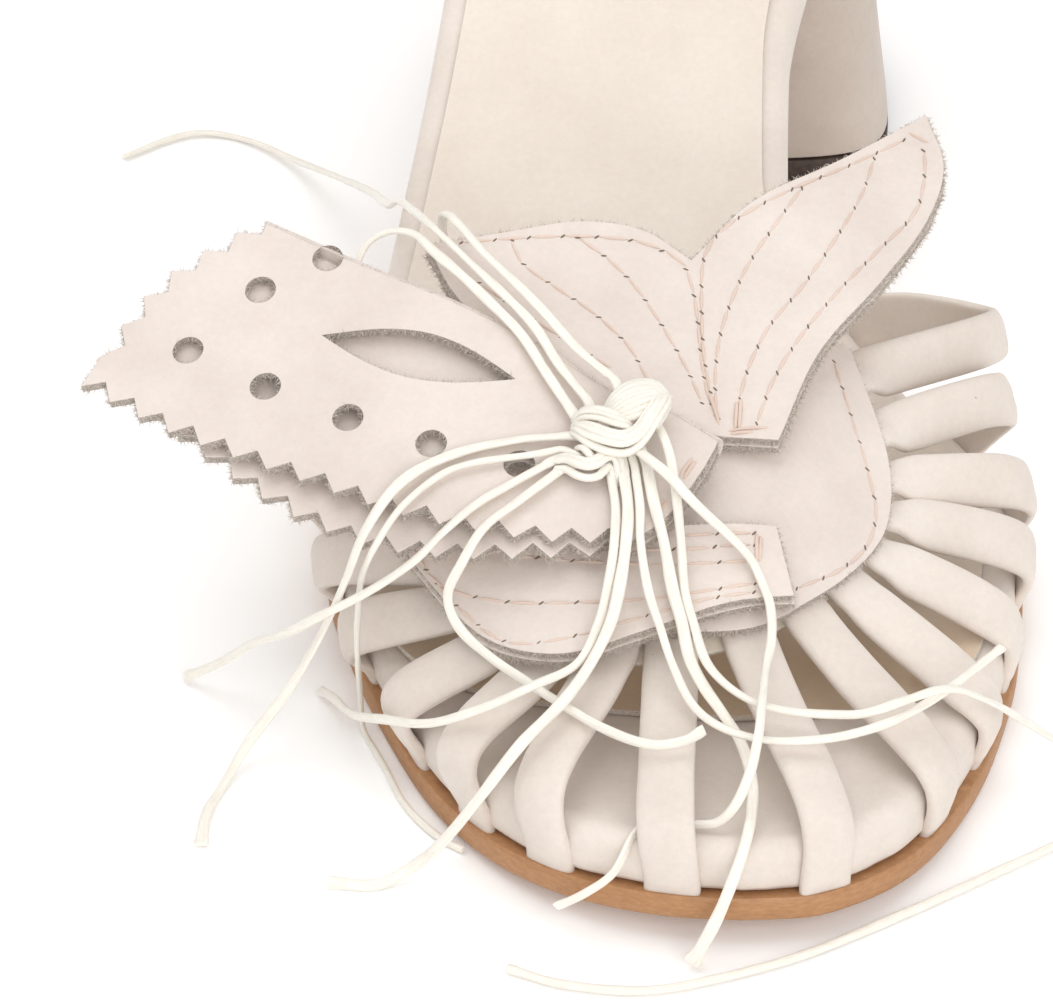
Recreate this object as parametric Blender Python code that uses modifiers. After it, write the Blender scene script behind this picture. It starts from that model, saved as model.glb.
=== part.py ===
"""A right-foot mule sandal: block heel, wrapped footbed, a cage of folded straps and a tied leather ornament.

Frame: metres, +Z up.  The origin is the flat spot under the ball of the foot, where the forefoot rests on the
floor.  The toe points to -Y, the heel to +Y, and +X is the medial (big toe) side.
"""

import math

import bmesh
import bpy
import numpy as np
from mathutils import Vector

MM = 0.001
GAP = 0.3 * MM                     # clearance between two curved pieces that touch on the real object

# ---------------------------------------------------------------- driving sizes
TOE_Y = -72.6 * MM                 # tip of the outsole
HEEL_Y = 160.0 * MM                # back of the heel seat
OUTSOLE_THICK = 3.5 * MM
FOOTBED_THICK = 7.0 * MM           # wrapped board with its padding
FOOTBED_INSET = 1.9 * MM           # the outsole stands this far proud of the footbed
WAIST_TUCK = 4.0 * MM              # and is cut in under it along the waist
FOOTBED_RIM = 3.0 * MM             # radius of the padded top edge
SOCK_THICK = 0.8 * MM
SOCK_INSET = 3.6 * MM              # pale rim left around the cream sock
LIFT_THICK = 5.0 * MM              # top lift under the heel block
BREAST_Y = 102.0 * MM              # front face of the heel
BREAST_GAP = 1.2 * MM              # the outsole stops this far ahead of it
EDGE_ROUND = 0.6 * MM              # the small round along the lower edge of the sole's layers
SEAT_CLEARANCE = 0.3 * MM          # the heel's faceted top stays this much lower under the footbed
STRAP_WIDTH = 7.0 * MM
STRAP_THICK = 1.8 * MM             # two layers of folded leather
STRAP_CROWN = 0.45 * MM            # the strap's middle stands this far above its edges
FOOT_CLEARANCE = 0.7 * MM          # a strap's straight foot stands this far off the curved footbed
FOOT_LIFT = 0.7 * MM               # and this far above the outsole
PATCH_THICK = 1.4 * MM             # single sheet over the hub
FIN_THICK = 2.4 * MM               # two sheets sewn together, for the lower fin and the tail
WING_THICK = 1.3 * MM              # each half of the folded wing
CORD_DIAMETER = 1.2 * MM
RIM_STATIONS = 30                  # stations along each side of a sole layer

# Plan outline of the outsole: distance along the foot, medial edge and lateral edge, in millimetres.
OUTLINE_COLUMNS = ("y", "medial", "lateral")
OUTLINE = (
    (-72.0, 14.5, 0.0),
    (-68.4, 21.6, -11.2),
    (-62.0, 28.2, -20.2),
    (-50.0, 35.0, -29.2),
    (-35.0, 40.4, -35.8),
    (-18.0, 44.2, -41.4),
    (0.0, 45.8, -45.2),
    (15.0, 42.6, -45.6),
    (30.0, 34.2, -43.8),
    (45.0, 24.8, -41.2),
    (62.0, 18.8, -37.8),
    (78.0, 19.2, -34.4),
    (95.0, 23.6, -31.4),
    (112.0, 28.6, -29.8),
    (130.0, 30.4, -28.6),
    (143.0, 27.6, -25.8),
    (151.5, 21.6, -19.6),
    (157.6, 12.2, -10.2),
)
TOE_TIP_X = 7.0 * MM
HEEL_TIP_X = 1.0 * MM

# Height of the outsole's underside along the foot: toe spring, flat tread, arch and heel seat.
PROFILE_COLUMNS = ("y", "z")
PROFILE = (
    (-72.0, 3.6),
    (-56.0, 1.3),
    (-38.0, 0.0),
    (6.0, 0.0),
    (20.0, 0.9),
    (35.0, 3.6),
    (50.0, 8.6),
    (65.0, 16.2),
    (80.0, 25.6),
    (95.0, 35.8),
    (110.0, 45.2),
    (128.0, 53.0),
    (144.0, 56.4),
    (160.0, 57.6),
)

# Front edge of the cream sock, which stops short of the toe in a shallow arc (millimetres).
SOCK_FRONT_COLUMNS = ("y", "medial", "lateral")
SOCK_FRONT = (
    (-41.6, 14.5, 0.5),
    (-40.0, 23.0, -11.5),
    (-36.5, 32.0, -25.0),
    (-31.0, 36.8, -32.4),
    (-24.0, 39.2, -36.6),
    (-14.0, 41.2, -39.4),
)
SOCK_TIP_Y = -42.0 * MM


def monotone(xs, ys, x):
    """Shape-keeping cubic through (xs, ys), read at x: it never overshoots its points."""
    xs, ys, x = np.asarray(xs, float), np.asarray(ys, float), np.asarray(x, float)
    steps = np.diff(xs)
    slopes = np.diff(ys) / steps
    tangents = np.zeros(len(xs))
    tangents[0], tangents[-1] = slopes[0], slopes[-1]
    for i in range(1, len(xs) - 1):
        if slopes[i - 1] * slopes[i] > 0:
            a = 2 * steps[i] + steps[i - 1]
            b = steps[i] + 2 * steps[i - 1]
            tangents[i] = (a + b) / (a / slopes[i - 1] + b / slopes[i])
    i = np.clip(np.searchsorted(xs, x) - 1, 0, len(xs) - 2)
    t = (x - xs[i]) / steps[i]
    h00, h10 = 2 * t**3 - 3 * t**2 + 1, t**3 - 2 * t**2 + t
    h01, h11 = -2 * t**3 + 3 * t**2, t**3 - t**2
    return h00 * ys[i] + h10 * steps[i] * tangents[i] + h01 * ys[i + 1] + h11 * steps[i] * tangents[i + 1]


def column(table, names, name):
    """One named column of a table, in metres."""
    return [row[names.index(name)] * MM for row in table]


def sole_z(y):
    """Height of the outsole's underside."""
    y = np.clip(y, TOE_Y, HEEL_Y)
    return monotone(column(PROFILE, PROFILE_COLUMNS, "y"), column(PROFILE, PROFILE_COLUMNS, "z"), y)


def smooth_side(tip, rows, names, side, end):
    """A dense plan curve from the toe tip along one side to the heel tip, cubic by its length."""
    points = [tip] + list(zip(column(rows, names, side), column(rows, names, "y"))) + [end]
    points = np.array(points)
    length = np.concatenate([[0], np.cumsum(np.hypot(*np.diff(points, axis=0).T))])
    at = np.linspace(0, length[-1], 600)
    return np.stack([monotone(length, points[:, 0], at), monotone(length, points[:, 1], at)], axis=1)


def inset_side(curve, side, inset):
    """Moves a side's plan curve inwards by inset."""
    tangent = np.gradient(curve, axis=0)
    tangent /= np.hypot(*tangent.T)[:, None]
    turn = -1.0 if side == "medial" else 1.0
    normal = np.stack([tangent[:, 1], -tangent[:, 0]], axis=1) * turn
    return curve + normal * inset


def edge_x(y, side, inset=0.0):
    """X of the outsole's edge on one side at the given y, moved inwards by inset."""
    curve = inset_side(
        smooth_side((TOE_TIP_X, TOE_Y), OUTLINE, OUTLINE_COLUMNS, side, (HEEL_TIP_X, HEEL_Y)), side, inset)
    return np.interp(y, curve[:, 1], curve[:, 0])


def stations(start, end, count):
    """Y positions crowded towards both ends, where the outline turns."""
    turn = np.linspace(0, math.pi, count)
    return start + (end - start) * (1 - np.cos(turn)) / 2


# ---------------------------------------------------------------- scene helpers
def clear_scene():
    for thing in list(bpy.data.objects):
        bpy.data.objects.remove(thing, do_unlink=True)


def new_collection(name):
    group = bpy.data.collections.new(name)
    bpy.context.scene.collection.children.link(group)
    return group


def material(name, hex_colour, roughness, metallic=0.0):
    """A Principled material from an sRGB hex colour."""
    values = [int(hex_colour[i:i + 2], 16) / 255 for i in (1, 3, 5)]
    linear = [c / 12.92 if c <= 0.04045 else ((c + 0.055) / 1.055) ** 2.4 for c in values]
    made = bpy.data.materials.get(name) or bpy.data.materials.new(name)
    made.use_nodes = True
    shader = made.node_tree.nodes["Principled BSDF"]
    shader.inputs["Base Color"].default_value = (*linear, 1.0)
    shader.inputs["Roughness"].default_value = roughness
    shader.inputs["Metallic"].default_value = metallic
    return made


def finish_mesh(name, bm, surface, group):
    """Turns a bmesh into a named object with outward faces, smooth shading and its material."""
    bmesh.ops.recalc_face_normals(bm, faces=bm.faces)
    mesh = bpy.data.meshes.new(name)
    bm.to_mesh(mesh)
    bm.free()
    mesh.shade_smooth()
    mesh.set_sharp_from_angle(angle=math.radians(40))
    mesh.materials.append(surface)
    made = bpy.data.objects.new(name, mesh)
    group.objects.link(made)
    return made


def close_stack(bm, loops):
    """Joins stacked loops of equal count and caps both ends with rows of quads."""
    count = len(loops[0])
    for lower, upper in zip(loops, loops[1:]):
        for i in range(count):
            j = (i + 1) % count
            bm.faces.new((lower[i], lower[j], upper[j], upper[i]))
    for loop in (loops[0], loops[-1]):
        for i in range(count // 2):
            corners = (loop[i], loop[i + 1], loop[(count - i - 1) % count], loop[(count - i) % count])
            bm.faces.new(list(dict.fromkeys(corners)))


# ---------------------------------------------------------------- sole layers
def plan_ring(inset, start=TOE_Y, end=HEEL_Y, tips=(TOE_TIP_X, HEEL_TIP_X), count=RIM_STATIONS, edges=edge_x):
    """A closed plan outline: the toe tip, the medial side, the heel tip, then the lateral side back."""
    ys = stations(start + inset, end - inset, count)
    medial = [(float(edges(y, "medial", inset)), float(y)) for y in ys[1:-1]]
    lateral = [(float(edges(y, "lateral", inset)), float(y)) for y in ys[1:-1]]
    return [(tips[0], float(ys[0]))] + medial + [(tips[1], float(ys[-1]))] + lateral[::-1]


def sole_layer(name, rings, surface, group):
    """A closed solid from stacked plan rings; each ring is (outline, function giving z from x and y)."""
    bm = bmesh.new()
    close_stack(bm, [[bm.verts.new((x, y, height(x, y))) for x, y in outline] for outline, height in rings])
    return finish_mesh(name, bm, surface, group)


def above_sole(offset):
    """Height function: a fixed distance above the outsole's underside."""
    return lambda x, y: float(sole_z(y)) + offset


def outsole_tuck(y):
    """The outsole is cut in under the footbed along the waist."""
    return float(monotone((TOE_Y, 12 * MM, 34 * MM, 120 * MM), (0, 0, WAIST_TUCK, WAIST_TUCK), y))


def build_outsole(surface, group):
    """The outsole runs from the toe to the heel breast, so its back end is cut square across the shank."""
    end = BREAST_Y - BREAST_GAP
    rings = []
    for inset, offset in ((EDGE_ROUND, 0.0), (0.0, EDGE_ROUND), (0.0, OUTSOLE_THICK)):
        ys = TOE_Y + inset + (end - TOE_Y - inset) * (1 - np.cos(np.linspace(0, math.pi / 2, RIM_STATIONS)))
        medial = [(float(edge_x(y, "medial", inset + outsole_tuck(y))), float(y)) for y in ys[1:]]
        lateral = [(float(edge_x(y, "lateral", inset + outsole_tuck(y))), float(y)) for y in ys[1:]]
        rings.append(([(TOE_TIP_X, float(ys[0]))] + medial + lateral[::-1], above_sole(offset)))
    return sole_layer("outsole", rings, surface, group)


def build_footbed(surface, group):
    base = OUTSOLE_THICK + GAP
    top = base + FOOTBED_THICK
    rings = [(plan_ring(FOOTBED_INSET + EDGE_ROUND), above_sole(base))]
    rings.append((plan_ring(FOOTBED_INSET), above_sole(base + EDGE_ROUND)))
    for step in range(4):
        turn = math.radians(90 * step / 3)
        inset = FOOTBED_INSET + FOOTBED_RIM * (1 - math.cos(turn))
        rings.append((plan_ring(inset), above_sole(top - FOOTBED_RIM * (1 - math.sin(turn)))))
    return sole_layer("footbed", rings, surface, group)


def sock_edges(y, side, inset=0.0):
    """The sock follows the outline, and its front edge has a table of its own."""
    last = SOCK_FRONT[-1][0] * MM
    if y < last:
        curve = smooth_side(
            (TOE_TIP_X, SOCK_TIP_Y), SOCK_FRONT, SOCK_FRONT_COLUMNS, side,
            (float(edge_x(0.0, side, FOOTBED_INSET + SOCK_INSET)), 0.0))
        curve = inset_side(curve, side, inset)
        return np.interp(y, curve[:, 1], curve[:, 0])
    return edge_x(y, side, FOOTBED_INSET + SOCK_INSET + inset)


def build_sock(surface, group):
    base = OUTSOLE_THICK + GAP + FOOTBED_THICK + GAP
    start, end = SOCK_TIP_Y, HEEL_Y - FOOTBED_INSET - SOCK_INSET
    rings = []
    for inset, offset in ((0.0, base), (0.0, base + SOCK_THICK)):
        outline = plan_ring(inset, start, end, edges=sock_edges)
        rings.append((outline, above_sole(offset)))
    return sole_layer("sock", rings, surface, group)


# ---------------------------------------------------------------- heel
HEEL_RING = 30                     # points round a section
HEEL_WIDEST = 0.4                  # the widest place, as a share of the depth from the breast
BREAST_POWER = 5.0                 # how square the section is towards the breast: 2 is round
BACK_POWER = 2.3                   # and towards the back


def heel_ring(half_width, centre_x, front, back):
    """Plan section of the heel: a flat breast with round corners and a round back."""
    points = []
    depth = back - front
    for i in range(HEEL_RING):
        turn = 2 * math.pi * i / HEEL_RING - math.pi / 2
        c, s = math.cos(turn), math.sin(turn)
        power = BREAST_POWER if s < 0 else BACK_POWER
        x = half_width * math.copysign(abs(c) ** (2 / power), c)
        reach = (HEEL_WIDEST if s < 0 else 1 - HEEL_WIDEST) * depth
        y = front + HEEL_WIDEST * depth + reach * math.copysign(abs(s) ** (2 / power), s)
        points.append((centre_x + x, y))
    return points


HEEL_COLUMNS = ("height", "half_width", "centre_x", "front", "back")
HEEL_SECTIONS = (
    (0.0, 32.0, 2.0, 102.0, 155.0),
    (0.18, 31.0, 1.8, 102.0, 154.6),
    (0.5, 29.6, 1.4, 102.2, 154.8),
    (0.8, 28.6, 1.1, 102.6, 155.6),
    (1.0, 28.2, 1.0, 103.0, 156.2),
)


def build_heel(surface, group):
    """A flared block heel; its top follows the footbed's underside."""
    bm = bmesh.new()
    loops = []
    floor = LIFT_THICK + GAP
    for row in HEEL_SECTIONS:
        values = dict(zip(HEEL_COLUMNS, row))
        outline = heel_ring(values["half_width"] * MM, values["centre_x"] * MM,
                            values["front"] * MM, values["back"] * MM)
        loop = []
        for x, y in outline:
            seat = float(sole_z(y)) + OUTSOLE_THICK - SEAT_CLEARANCE
            loop.append(bm.verts.new((x, y, floor + (seat - floor) * values["height"])))
        loops.append(loop)
    close_stack(bm, loops)
    return finish_mesh("heel_block", bm, surface, group)


def build_lift(surface, group):
    bm = bmesh.new()
    first = dict(zip(HEEL_COLUMNS, HEEL_SECTIONS[0]))
    loops = []
    for grow, z in ((-EDGE_ROUND, 0.0), (0.0, EDGE_ROUND), (0.0, LIFT_THICK)):
        outline = heel_ring(first["half_width"] * MM + grow, first["centre_x"] * MM,
                            first["front"] * MM - grow, first["back"] * MM + grow)
        loops.append([bm.verts.new((x, y, z)) for x, y in outline])
    close_stack(bm, loops)
    return finish_mesh("top_lift", bm, surface, group)


# ---------------------------------------------------------------- upper: the strap cage
# Crest of the last over the forefoot, in millimetres.
CREST_COLUMNS = ("y", "z")
CREST = (
    (-60.0, 13.0),
    (-42.0, 22.5),
    (-30.0, 28.0),
    (-15.0, 33.6),
    (0.0, 38.2),
    (20.0, 43.2),
)
CREST_RADIUS = 48 * MM             # the last's roundness across the foot there
DOME_RISE = 0.3                    # and its slope towards the heel
HUB_CENTRE = Vector((0.0, -16.0 * MM, 0.0))
HUB_BACK = Vector((-1.0 * MM, 6.0 * MM, 0.0))


def dome_z(x, y):
    """Outer surface of the vamp over the forefoot, where the straps meet."""
    crest = monotone(column(CREST, CREST_COLUMNS, "y"), column(CREST, CREST_COLUMNS, "z"), y)
    return float(crest) - x * x / (2 * CREST_RADIUS)


# Each strap: where it leaves the hub, its widest point, how far its face leans forward halfway down, and how far
# its foot lies along the sole's outline from the toe tip, medial side positive (millimetres).
STRAP_COLUMNS = ("hub_x", "hub_y", "out_x", "out_y", "out_z", "lean", "foot_run")
STRAPS = (
    (22.0, 2.2, 42.4, 26.0, 24.0, 1.10, 139.5),
    (24.8, -5.2, 42.4, 12.0, 22.8, 0.90, 114.0),
    (26.2, -11.4, 44.0, -1.5, 18.6, 0.55, 97.5),
    (26.4, -17.0, 43.6, -9.8, 14.4, 0.40, 83.0),
    (25.0, -23.2, 40.7, -23.2, 12.5, 0.40, 67.0),
    (21.2, -29.4, 37.0, -38.8, 11.6, 0.45, 50.0),
    (15.8, -35.0, 30.2, -53.6, 13.2, 0.30, 33.0),
    (8.6, -40.0, 16.4, -66.2, 16.0, 0.0, 11.0),
    (-1.2, -41.3, -2.2, -67.0, 16.4, 0.0, -8.8),
    (-8.4, -40.8, -16.8, -61.0, 16.2, 0.0, -25.8),
    (-15.4, -39.2, -26.6, -52.6, 14.8, 0.10, -39.8),
    (-21.4, -36.0, -34.2, -39.6, 12.2, 0.20, -56.5),
    (-26.0, -29.8, -40.4, -23.6, 11.6, 0.30, -76.0),
    (-28.4, -22.4, -44.2, -10.0, 12.8, 0.40, -90.5),
    (-29.0, -15.0, -45.0, 0.5, 16.6, 0.55, -105.5),
    (-28.4, -7.8, -44.8, 13.0, 20.5, 0.90, -121.0),
    (-25.8, 0.0, -43.8, 26.0, 23.6, 1.10, -137.0),
)
STRAP_ROWS = 11
SLOPE_STEP = 0.1                   # share of a strap's reach over which the dome's slope is read
DOME_HOLD = 0.6                    # how far a strap leaves the hub along the dome, not straight
TURN_SHARE = 0.55                  # slope at the widest point, as a share of the way from hub to foot
ARRIVE_SHARE = 0.9                 # how straight down a strap reaches its foot
OUT_SHARE = 0.55                   # share of a strap's rows that lie between the hub and its widest point
LEAN_END = 0.65                    # a strap leans forward only up to this share of its rows
RIM_GAP = 0.5 * MM                 # least space between neighbouring straps where they leave the hub


def hermite(a, b, da, db, t):
    """Cubic from a to b with end slopes da and db."""
    return ((2 * t**3 - 3 * t**2 + 1) * a + (t**3 - 2 * t**2 + t) * da
            + (-2 * t**3 + 3 * t**2) * b + (t**3 - t**2) * db)


def outline_at(run, inset):
    """Point on the sole's outline at a distance from the toe tip, and the direction away from the tip there."""
    side = "medial" if run > 0 else "lateral"
    curve = smooth_side((TOE_TIP_X, TOE_Y), OUTLINE, OUTLINE_COLUMNS, side, (HEEL_TIP_X, HEEL_Y))
    length = np.concatenate([[0], np.cumsum(np.hypot(*np.diff(curve, axis=0).T))])
    curve = inset_side(curve, side, inset)
    x, y = (np.interp(abs(run), length, curve[:, i]) for i in (0, 1))
    step = 2 * MM
    dx, dy = (np.interp(abs(run) + step, length, curve[:, i]) - np.interp(abs(run) - step, length, curve[:, i])
              for i in (0, 1))
    return float(x), float(y), Vector((float(dx), float(dy), 0)).normalized()


def strap_foot(values):
    """Where a strap's inner face ends outside the footbed, the outline's direction there and the way out."""
    run = values["foot_run"] * MM
    x, y, away = outline_at(run, FOOTBED_INSET - FOOT_CLEARANCE)
    along = -away if run > 0 else away
    ahead, behind = (float(sole_z(y + along.y * step)) for step in (MM, -MM))
    along.z = (ahead - behind) / (2 * MM)
    point = Vector((x, y, float(sole_z(y)) + OUTSOLE_THICK + FOOT_LIFT))
    return point, along.normalized(), Vector((-along.y, along.x, 0)).normalized()


def hub_points():
    """The hub's rim: for each strap, its middle there and half its width along the rim."""
    middles = [Vector((row[0], row[1], 0)) * MM for row in STRAPS]
    made = []
    for k, middle in enumerate(middles):
        before, after = middles[max(k - 1, 0)], middles[min(k + 1, len(middles) - 1)]
        along = (after - before).normalized()
        room = min((middle - other).length for other in (before, after) if other is not middle)
        made.append((middle, along * min(STRAP_WIDTH, room - RIM_GAP) / 2))
    return made


def strap_rows(values, middle, half_rim):
    """Rows of three points across a strap's inner face, from the hub's rim to its foot."""
    def on_dome(point):
        return Vector((point.x, point.y, dome_z(point.x, point.y) - STRAP_THICK))

    hub = on_dome(middle)
    out = Vector((values["out_x"], values["out_y"], values["out_z"])) * MM
    foot, along, outward = strap_foot(values)
    leave = out - hub
    ahead = hub + leave * SLOPE_STEP
    slope = (dome_z(ahead.x, ahead.y) - dome_z(hub.x, hub.y)) / SLOPE_STEP
    leave.z = slope * DOME_HOLD + leave.z * (1 - DOME_HOLD)
    turn = (foot - hub) * TURN_SHARE
    arrive = Vector((0, 0, -1)) * (out - foot).length * ARRIVE_SHARE
    centres = []
    for k in range(STRAP_ROWS + 1):
        share = k / STRAP_ROWS
        if share <= OUT_SHARE:
            centres.append(hermite(hub, out, leave, turn, share / OUT_SHARE))
        else:
            centres.append(hermite(out, foot, turn * 0.8, arrive, (share - OUT_SHARE) / (1 - OUT_SHARE)))
    rows = [(on_dome(middle - half_rim), hub, on_dome(middle + half_rim))]
    up = Vector((hub.x / CREST_RADIUS, -DOME_RISE, 1)).normalized()
    for k in range(1, STRAP_ROWS + 1):
        share = k / STRAP_ROWS
        tangent = (centres[min(k + 1, STRAP_ROWS)] - centres[k - 1]).normalized()
        face = up.lerp(outward, share * share * (3 - 2 * share))
        face.y -= values["lean"] * math.sin(math.pi * min(share / LEAN_END, 1.0))
        across = tangent.cross(face) if k < STRAP_ROWS else along.copy()
        if across.dot(half_rim) < 0:
            across = -across
        across.normalize()
        crown = across.cross(tangent) * (STRAP_CROWN if k < STRAP_ROWS else 0)
        half = across * STRAP_WIDTH / 2
        rows.append((centres[k] - half, centres[k] + crown, centres[k] + half))
    return rows


def build_upper(surface, group):
    """One surface for the hub and all its straps, given its wall by Solidify."""
    bm = bmesh.new()
    straps = [strap_rows(dict(zip(STRAP_COLUMNS, row)), *rim) for row, rim in zip(STRAPS, hub_points())]
    rim = []
    for rows in straps:
        made = [[bm.verts.new(p) for p in row] for row in rows]
        for lower, upper in zip(made, made[1:]):
            for i in range(2):
                bm.faces.new((lower[i], lower[i + 1], upper[i + 1], upper[i]))
        rim.append(made[0])
    hub_edge = [v for trio in rim for v in trio]
    inner = []
    for v in hub_edge:
        halfway = HUB_CENTRE.lerp(v.co, 0.5)
        inner.append(bm.verts.new((halfway.x, halfway.y, dome_z(halfway.x, halfway.y) - STRAP_THICK)))
    for i in range(len(hub_edge) - 1):
        bm.faces.new((hub_edge[i], hub_edge[i + 1], inner[i + 1], inner[i]))
    heart = bm.verts.new((HUB_CENTRE.x, HUB_CENTRE.y, dome_z(HUB_CENTRE.x, HUB_CENTRE.y) - STRAP_THICK))
    for i in range(len(inner) - 1):
        bm.faces.new((inner[i], inner[i + 1], heart))
    back = bm.verts.new((HUB_BACK.x, HUB_BACK.y, dome_z(HUB_BACK.x, HUB_BACK.y) - STRAP_THICK))
    bm.faces.new((hub_edge[-1], back, heart, inner[-1]))
    bm.faces.new((back, hub_edge[0], inner[0], heart))
    bmesh.ops.recalc_face_normals(bm, faces=bm.faces)
    bm.normal_update()
    if sum(face.normal.z for face in heart.link_faces) < 0:
        bmesh.ops.reverse_faces(bm, faces=bm.faces)
    mesh = bpy.data.meshes.new("upper")
    bm.to_mesh(mesh)
    bm.free()
    mesh.shade_smooth()
    mesh.set_sharp_from_angle(angle=math.radians(50))
    mesh.materials.append(surface)
    made = bpy.data.objects.new("upper", mesh)
    group.objects.link(made)
    wall = made.modifiers.new("wall", "SOLIDIFY")
    wall.thickness = STRAP_THICK
    wall.offset = 1.0
    wall.use_even_offset = True
    return made


# ---------------------------------------------------------------- ornament
# Outlines in plan, in millimetres, with the columns x, y and corner.  A row with corner 1 is a sharp corner; the
# others are passed smoothly.
PATCH_BACK = (                     # the patch's rear edge, lateral to medial; the rest follows the hub's rim
    (-24.0, 4.5, 0),
    (-12.0, 8.0, 0),
    (4.0, 7.5, 0),
    (14.0, 5.0, 0),
    (22.5, 4.0, 1),
)
LOWER_FIN = (
    (12.0, -29.5, 1),
    (14.0, -38.5, 1),
    (6.0, -40.5, 0),
    (-5.0, -44.5, 0),
    (-15.0, -46.0, 0),
    (-24.0, -41.5, 0),
    (-31.0, -31.5, 0),
    (-37.0, -20.0, 1),
    (-24.0, -22.0, 0),
    (-6.0, -30.0, 0),
)
TAIL_FIN = (
    (12.5, -18.5, 1),
    (18.0, -5.5, 0),
    (26.5, 5.5, 0),
    (32.5, 14.5, 0),
    (35.0, 23.0, 0),
    (33.0, 31.0, 1),
    (22.5, 24.5, 0),
    (10.0, 17.5, 0),
    (2.0, 8.5, 1),
    (-4.0, 13.0, 0),
    (-12.0, 14.5, 0),
    (-22.0, 13.0, 0),
    (-32.0, 11.5, 1),
    (-27.0, 2.0, 0),
    (-14.0, -8.0, 0),
    (-4.0, -14.0, 0),
    (5.0, -18.0, 1),
)
WING_TIP_EDGE = ((-52.0, 14.5, 1), (-66.5, 5.5, 0), (-75.5, -8.5, 1))
WING_FRONT_EDGE = ((-75.5, -8.5, 1), (-64.0, -17.0, 0), (-48.0, -25.5, 0), (-34.0, -32.0, 0), (-18.0, -36.0, 0),
                   (-6.5, -36.5, 1))
WING_END_EDGE = ((-6.5, -36.5, 1), (-2.0, -33.0, 0), (2.5, -26.5, 0), (5.5, -20.5, 1))
WING_FOLD_EDGE = ((5.5, -20.5, 1), (-1.0, -16.0, 0), (-8.0, -13.0, 0), (-16.0, -7.0, 0), (-26.0, -0.5, 0),
                  (-38.0, 6.0, 0), (-52.0, 14.5, 1))
UNDER_TIP_EDGE = ((-52.0, 14.5, 1), (-59.0, 1.0, 0), (-63.0, -16.0, 1))      # the lower half stops short of the tip
UNDER_FRONT_EDGE = ((-63.0, -16.0, 1), (-54.0, -24.0, 0), (-45.0, -30.0, 0), (-34.0, -34.5, 0), (-18.0, -37.0, 0),
                    (-6.5, -36.5, 1))
TOOTH_PITCH = 4.7 * MM
TOOTH_DEPTH = 2.1 * MM
HOLE_DIAMETER = 3.9 * MM
# The wing's round holes: x, y and 1 where the hole goes through the lower half too.
WING_HOLES = ((-44.5, 7.0, 0), (-53.0, 3.0, 0), (-62.0, -5.0, 0), (-52.0, -11.5, 1), (-41.5, -17.0, 0),
              (-31.0, -21.5, 0), (-20.0, -25.0, 1))
LENS_ENDS = ((-45.0, -4.5), (-20.5, -12.5))
LENS_BULGE = 3.4 * MM
NECK = Vector((-8.0 * MM, -18.0 * MM, 41.0 * MM))       # where the knot gathers the wing
FIN_RISE = 0.353                   # the tail and the wing climb towards the heel at this slope
WING_DROOP = 1.2                   # per metre: the wing's free end curves down
TAIL_DROP = 3.3 * MM               # the tail's top lies this far under the wing's at the neck
UNDER_SAG = 1.6 * MM               # the wing's lower half hangs this much lower along its front edge
PATCH_LIFT = 0.9 * MM              # space for the straps' folded edges under the patch
FIN_LIFT = 0.5 * MM
FIN_RADIUS = 60 * MM               # the stiff lower fin bends less across the foot than the vamp does
FIN_SLOPE = 0.42
FIN_HINGE_Y = -34.0 * MM           # ahead of this line the lower fin goes on straight
SAG_START_X = -18.0 * MM           # the lower half of the wing sags from here outwards
SAG_LENGTH = 44.0 * MM
SAG_DEPTH = 16.0 * MM              # and this far back from the front edge
PATCH_MARGIN = 0.7 * MM            # the patch reaches this far past the hub's rim
FINE = 16                          # steps to a span where a curve is only measured


def smooth_line(rows, per_span, closed=False):
    """Points along a curve through the rows: cubic spans, straight into each corner."""
    points = [Vector((x, y, 0)) * MM for x, y, corner in rows]
    sharp = [corner for x, y, corner in rows]
    count = len(rows)
    made = []
    for i in range(count if closed else count - 1):
        j = (i + 1) % count
        chord = points[j] - points[i]
        slopes = []
        for k in (i, j):
            inner = closed or 0 < k < count - 1
            if sharp[k] or not inner:
                slopes.append(chord)
            else:
                whole = points[(k + 1) % count] - points[k - 1]
                slopes.append(whole.normalized() * chord.length)
        for step in range(per_span):
            made.append(hermite(points[i], points[j], slopes[0], slopes[1], step / per_span))
    if not closed:
        made.append(points[-1])
    return made


def run_lengths(points):
    """Distance along a run of points to each of them."""
    length = [0.0]
    for a, b in zip(points, points[1:]):
        length.append(length[-1] + (b - a).length)
    return length


def pinked(rows, pitch, depth):
    """The same curve with a zigzag edge: the teeth's points lie on it, the notches to the left of its run."""
    dense = smooth_line(rows, FINE)
    length = run_lengths(dense)
    halves = 2 * max(1, round(length[-1] / pitch))
    made = []
    for k in range(halves + 1):
        at = length[-1] * k / halves
        x, y = (float(np.interp(at, length, [p[i] for p in dense])) for i in (0, 1))
        ahead, behind = (min(max(at + step, 0), length[-1]) for step in (MM, -MM))
        run = Vector([float(np.interp(ahead, length, [p[i] for p in dense])
                            - np.interp(behind, length, [p[i] for p in dense])) for i in (0, 1)] + [0.0])
        run.normalize()
        inward = Vector((-run.y, run.x, 0)) * (depth if k % 2 else 0.0)
        made.append(Vector((x, y, 0)) + inward)
    return made


def ring(x, y, radius, count=8):
    return [Vector((x + radius * math.cos(2 * math.pi * k / count),
                    y + radius * math.sin(2 * math.pi * k / count), 0)) for k in range(count)]


def lens(ends, bulge, count=5):
    """A pointed oval between two ends."""
    a, b = (Vector((x, y, 0)) * MM for x, y in ends)
    side = (b - a).normalized().cross(Vector((0, 0, 1)))
    upper = [a.lerp(b, k / count) + side * bulge * math.sin(math.pi * k / count) for k in range(count)]
    lower = [b.lerp(a, k / count) - side * bulge * math.sin(math.pi * k / count) for k in range(count)]
    return upper + lower


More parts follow.
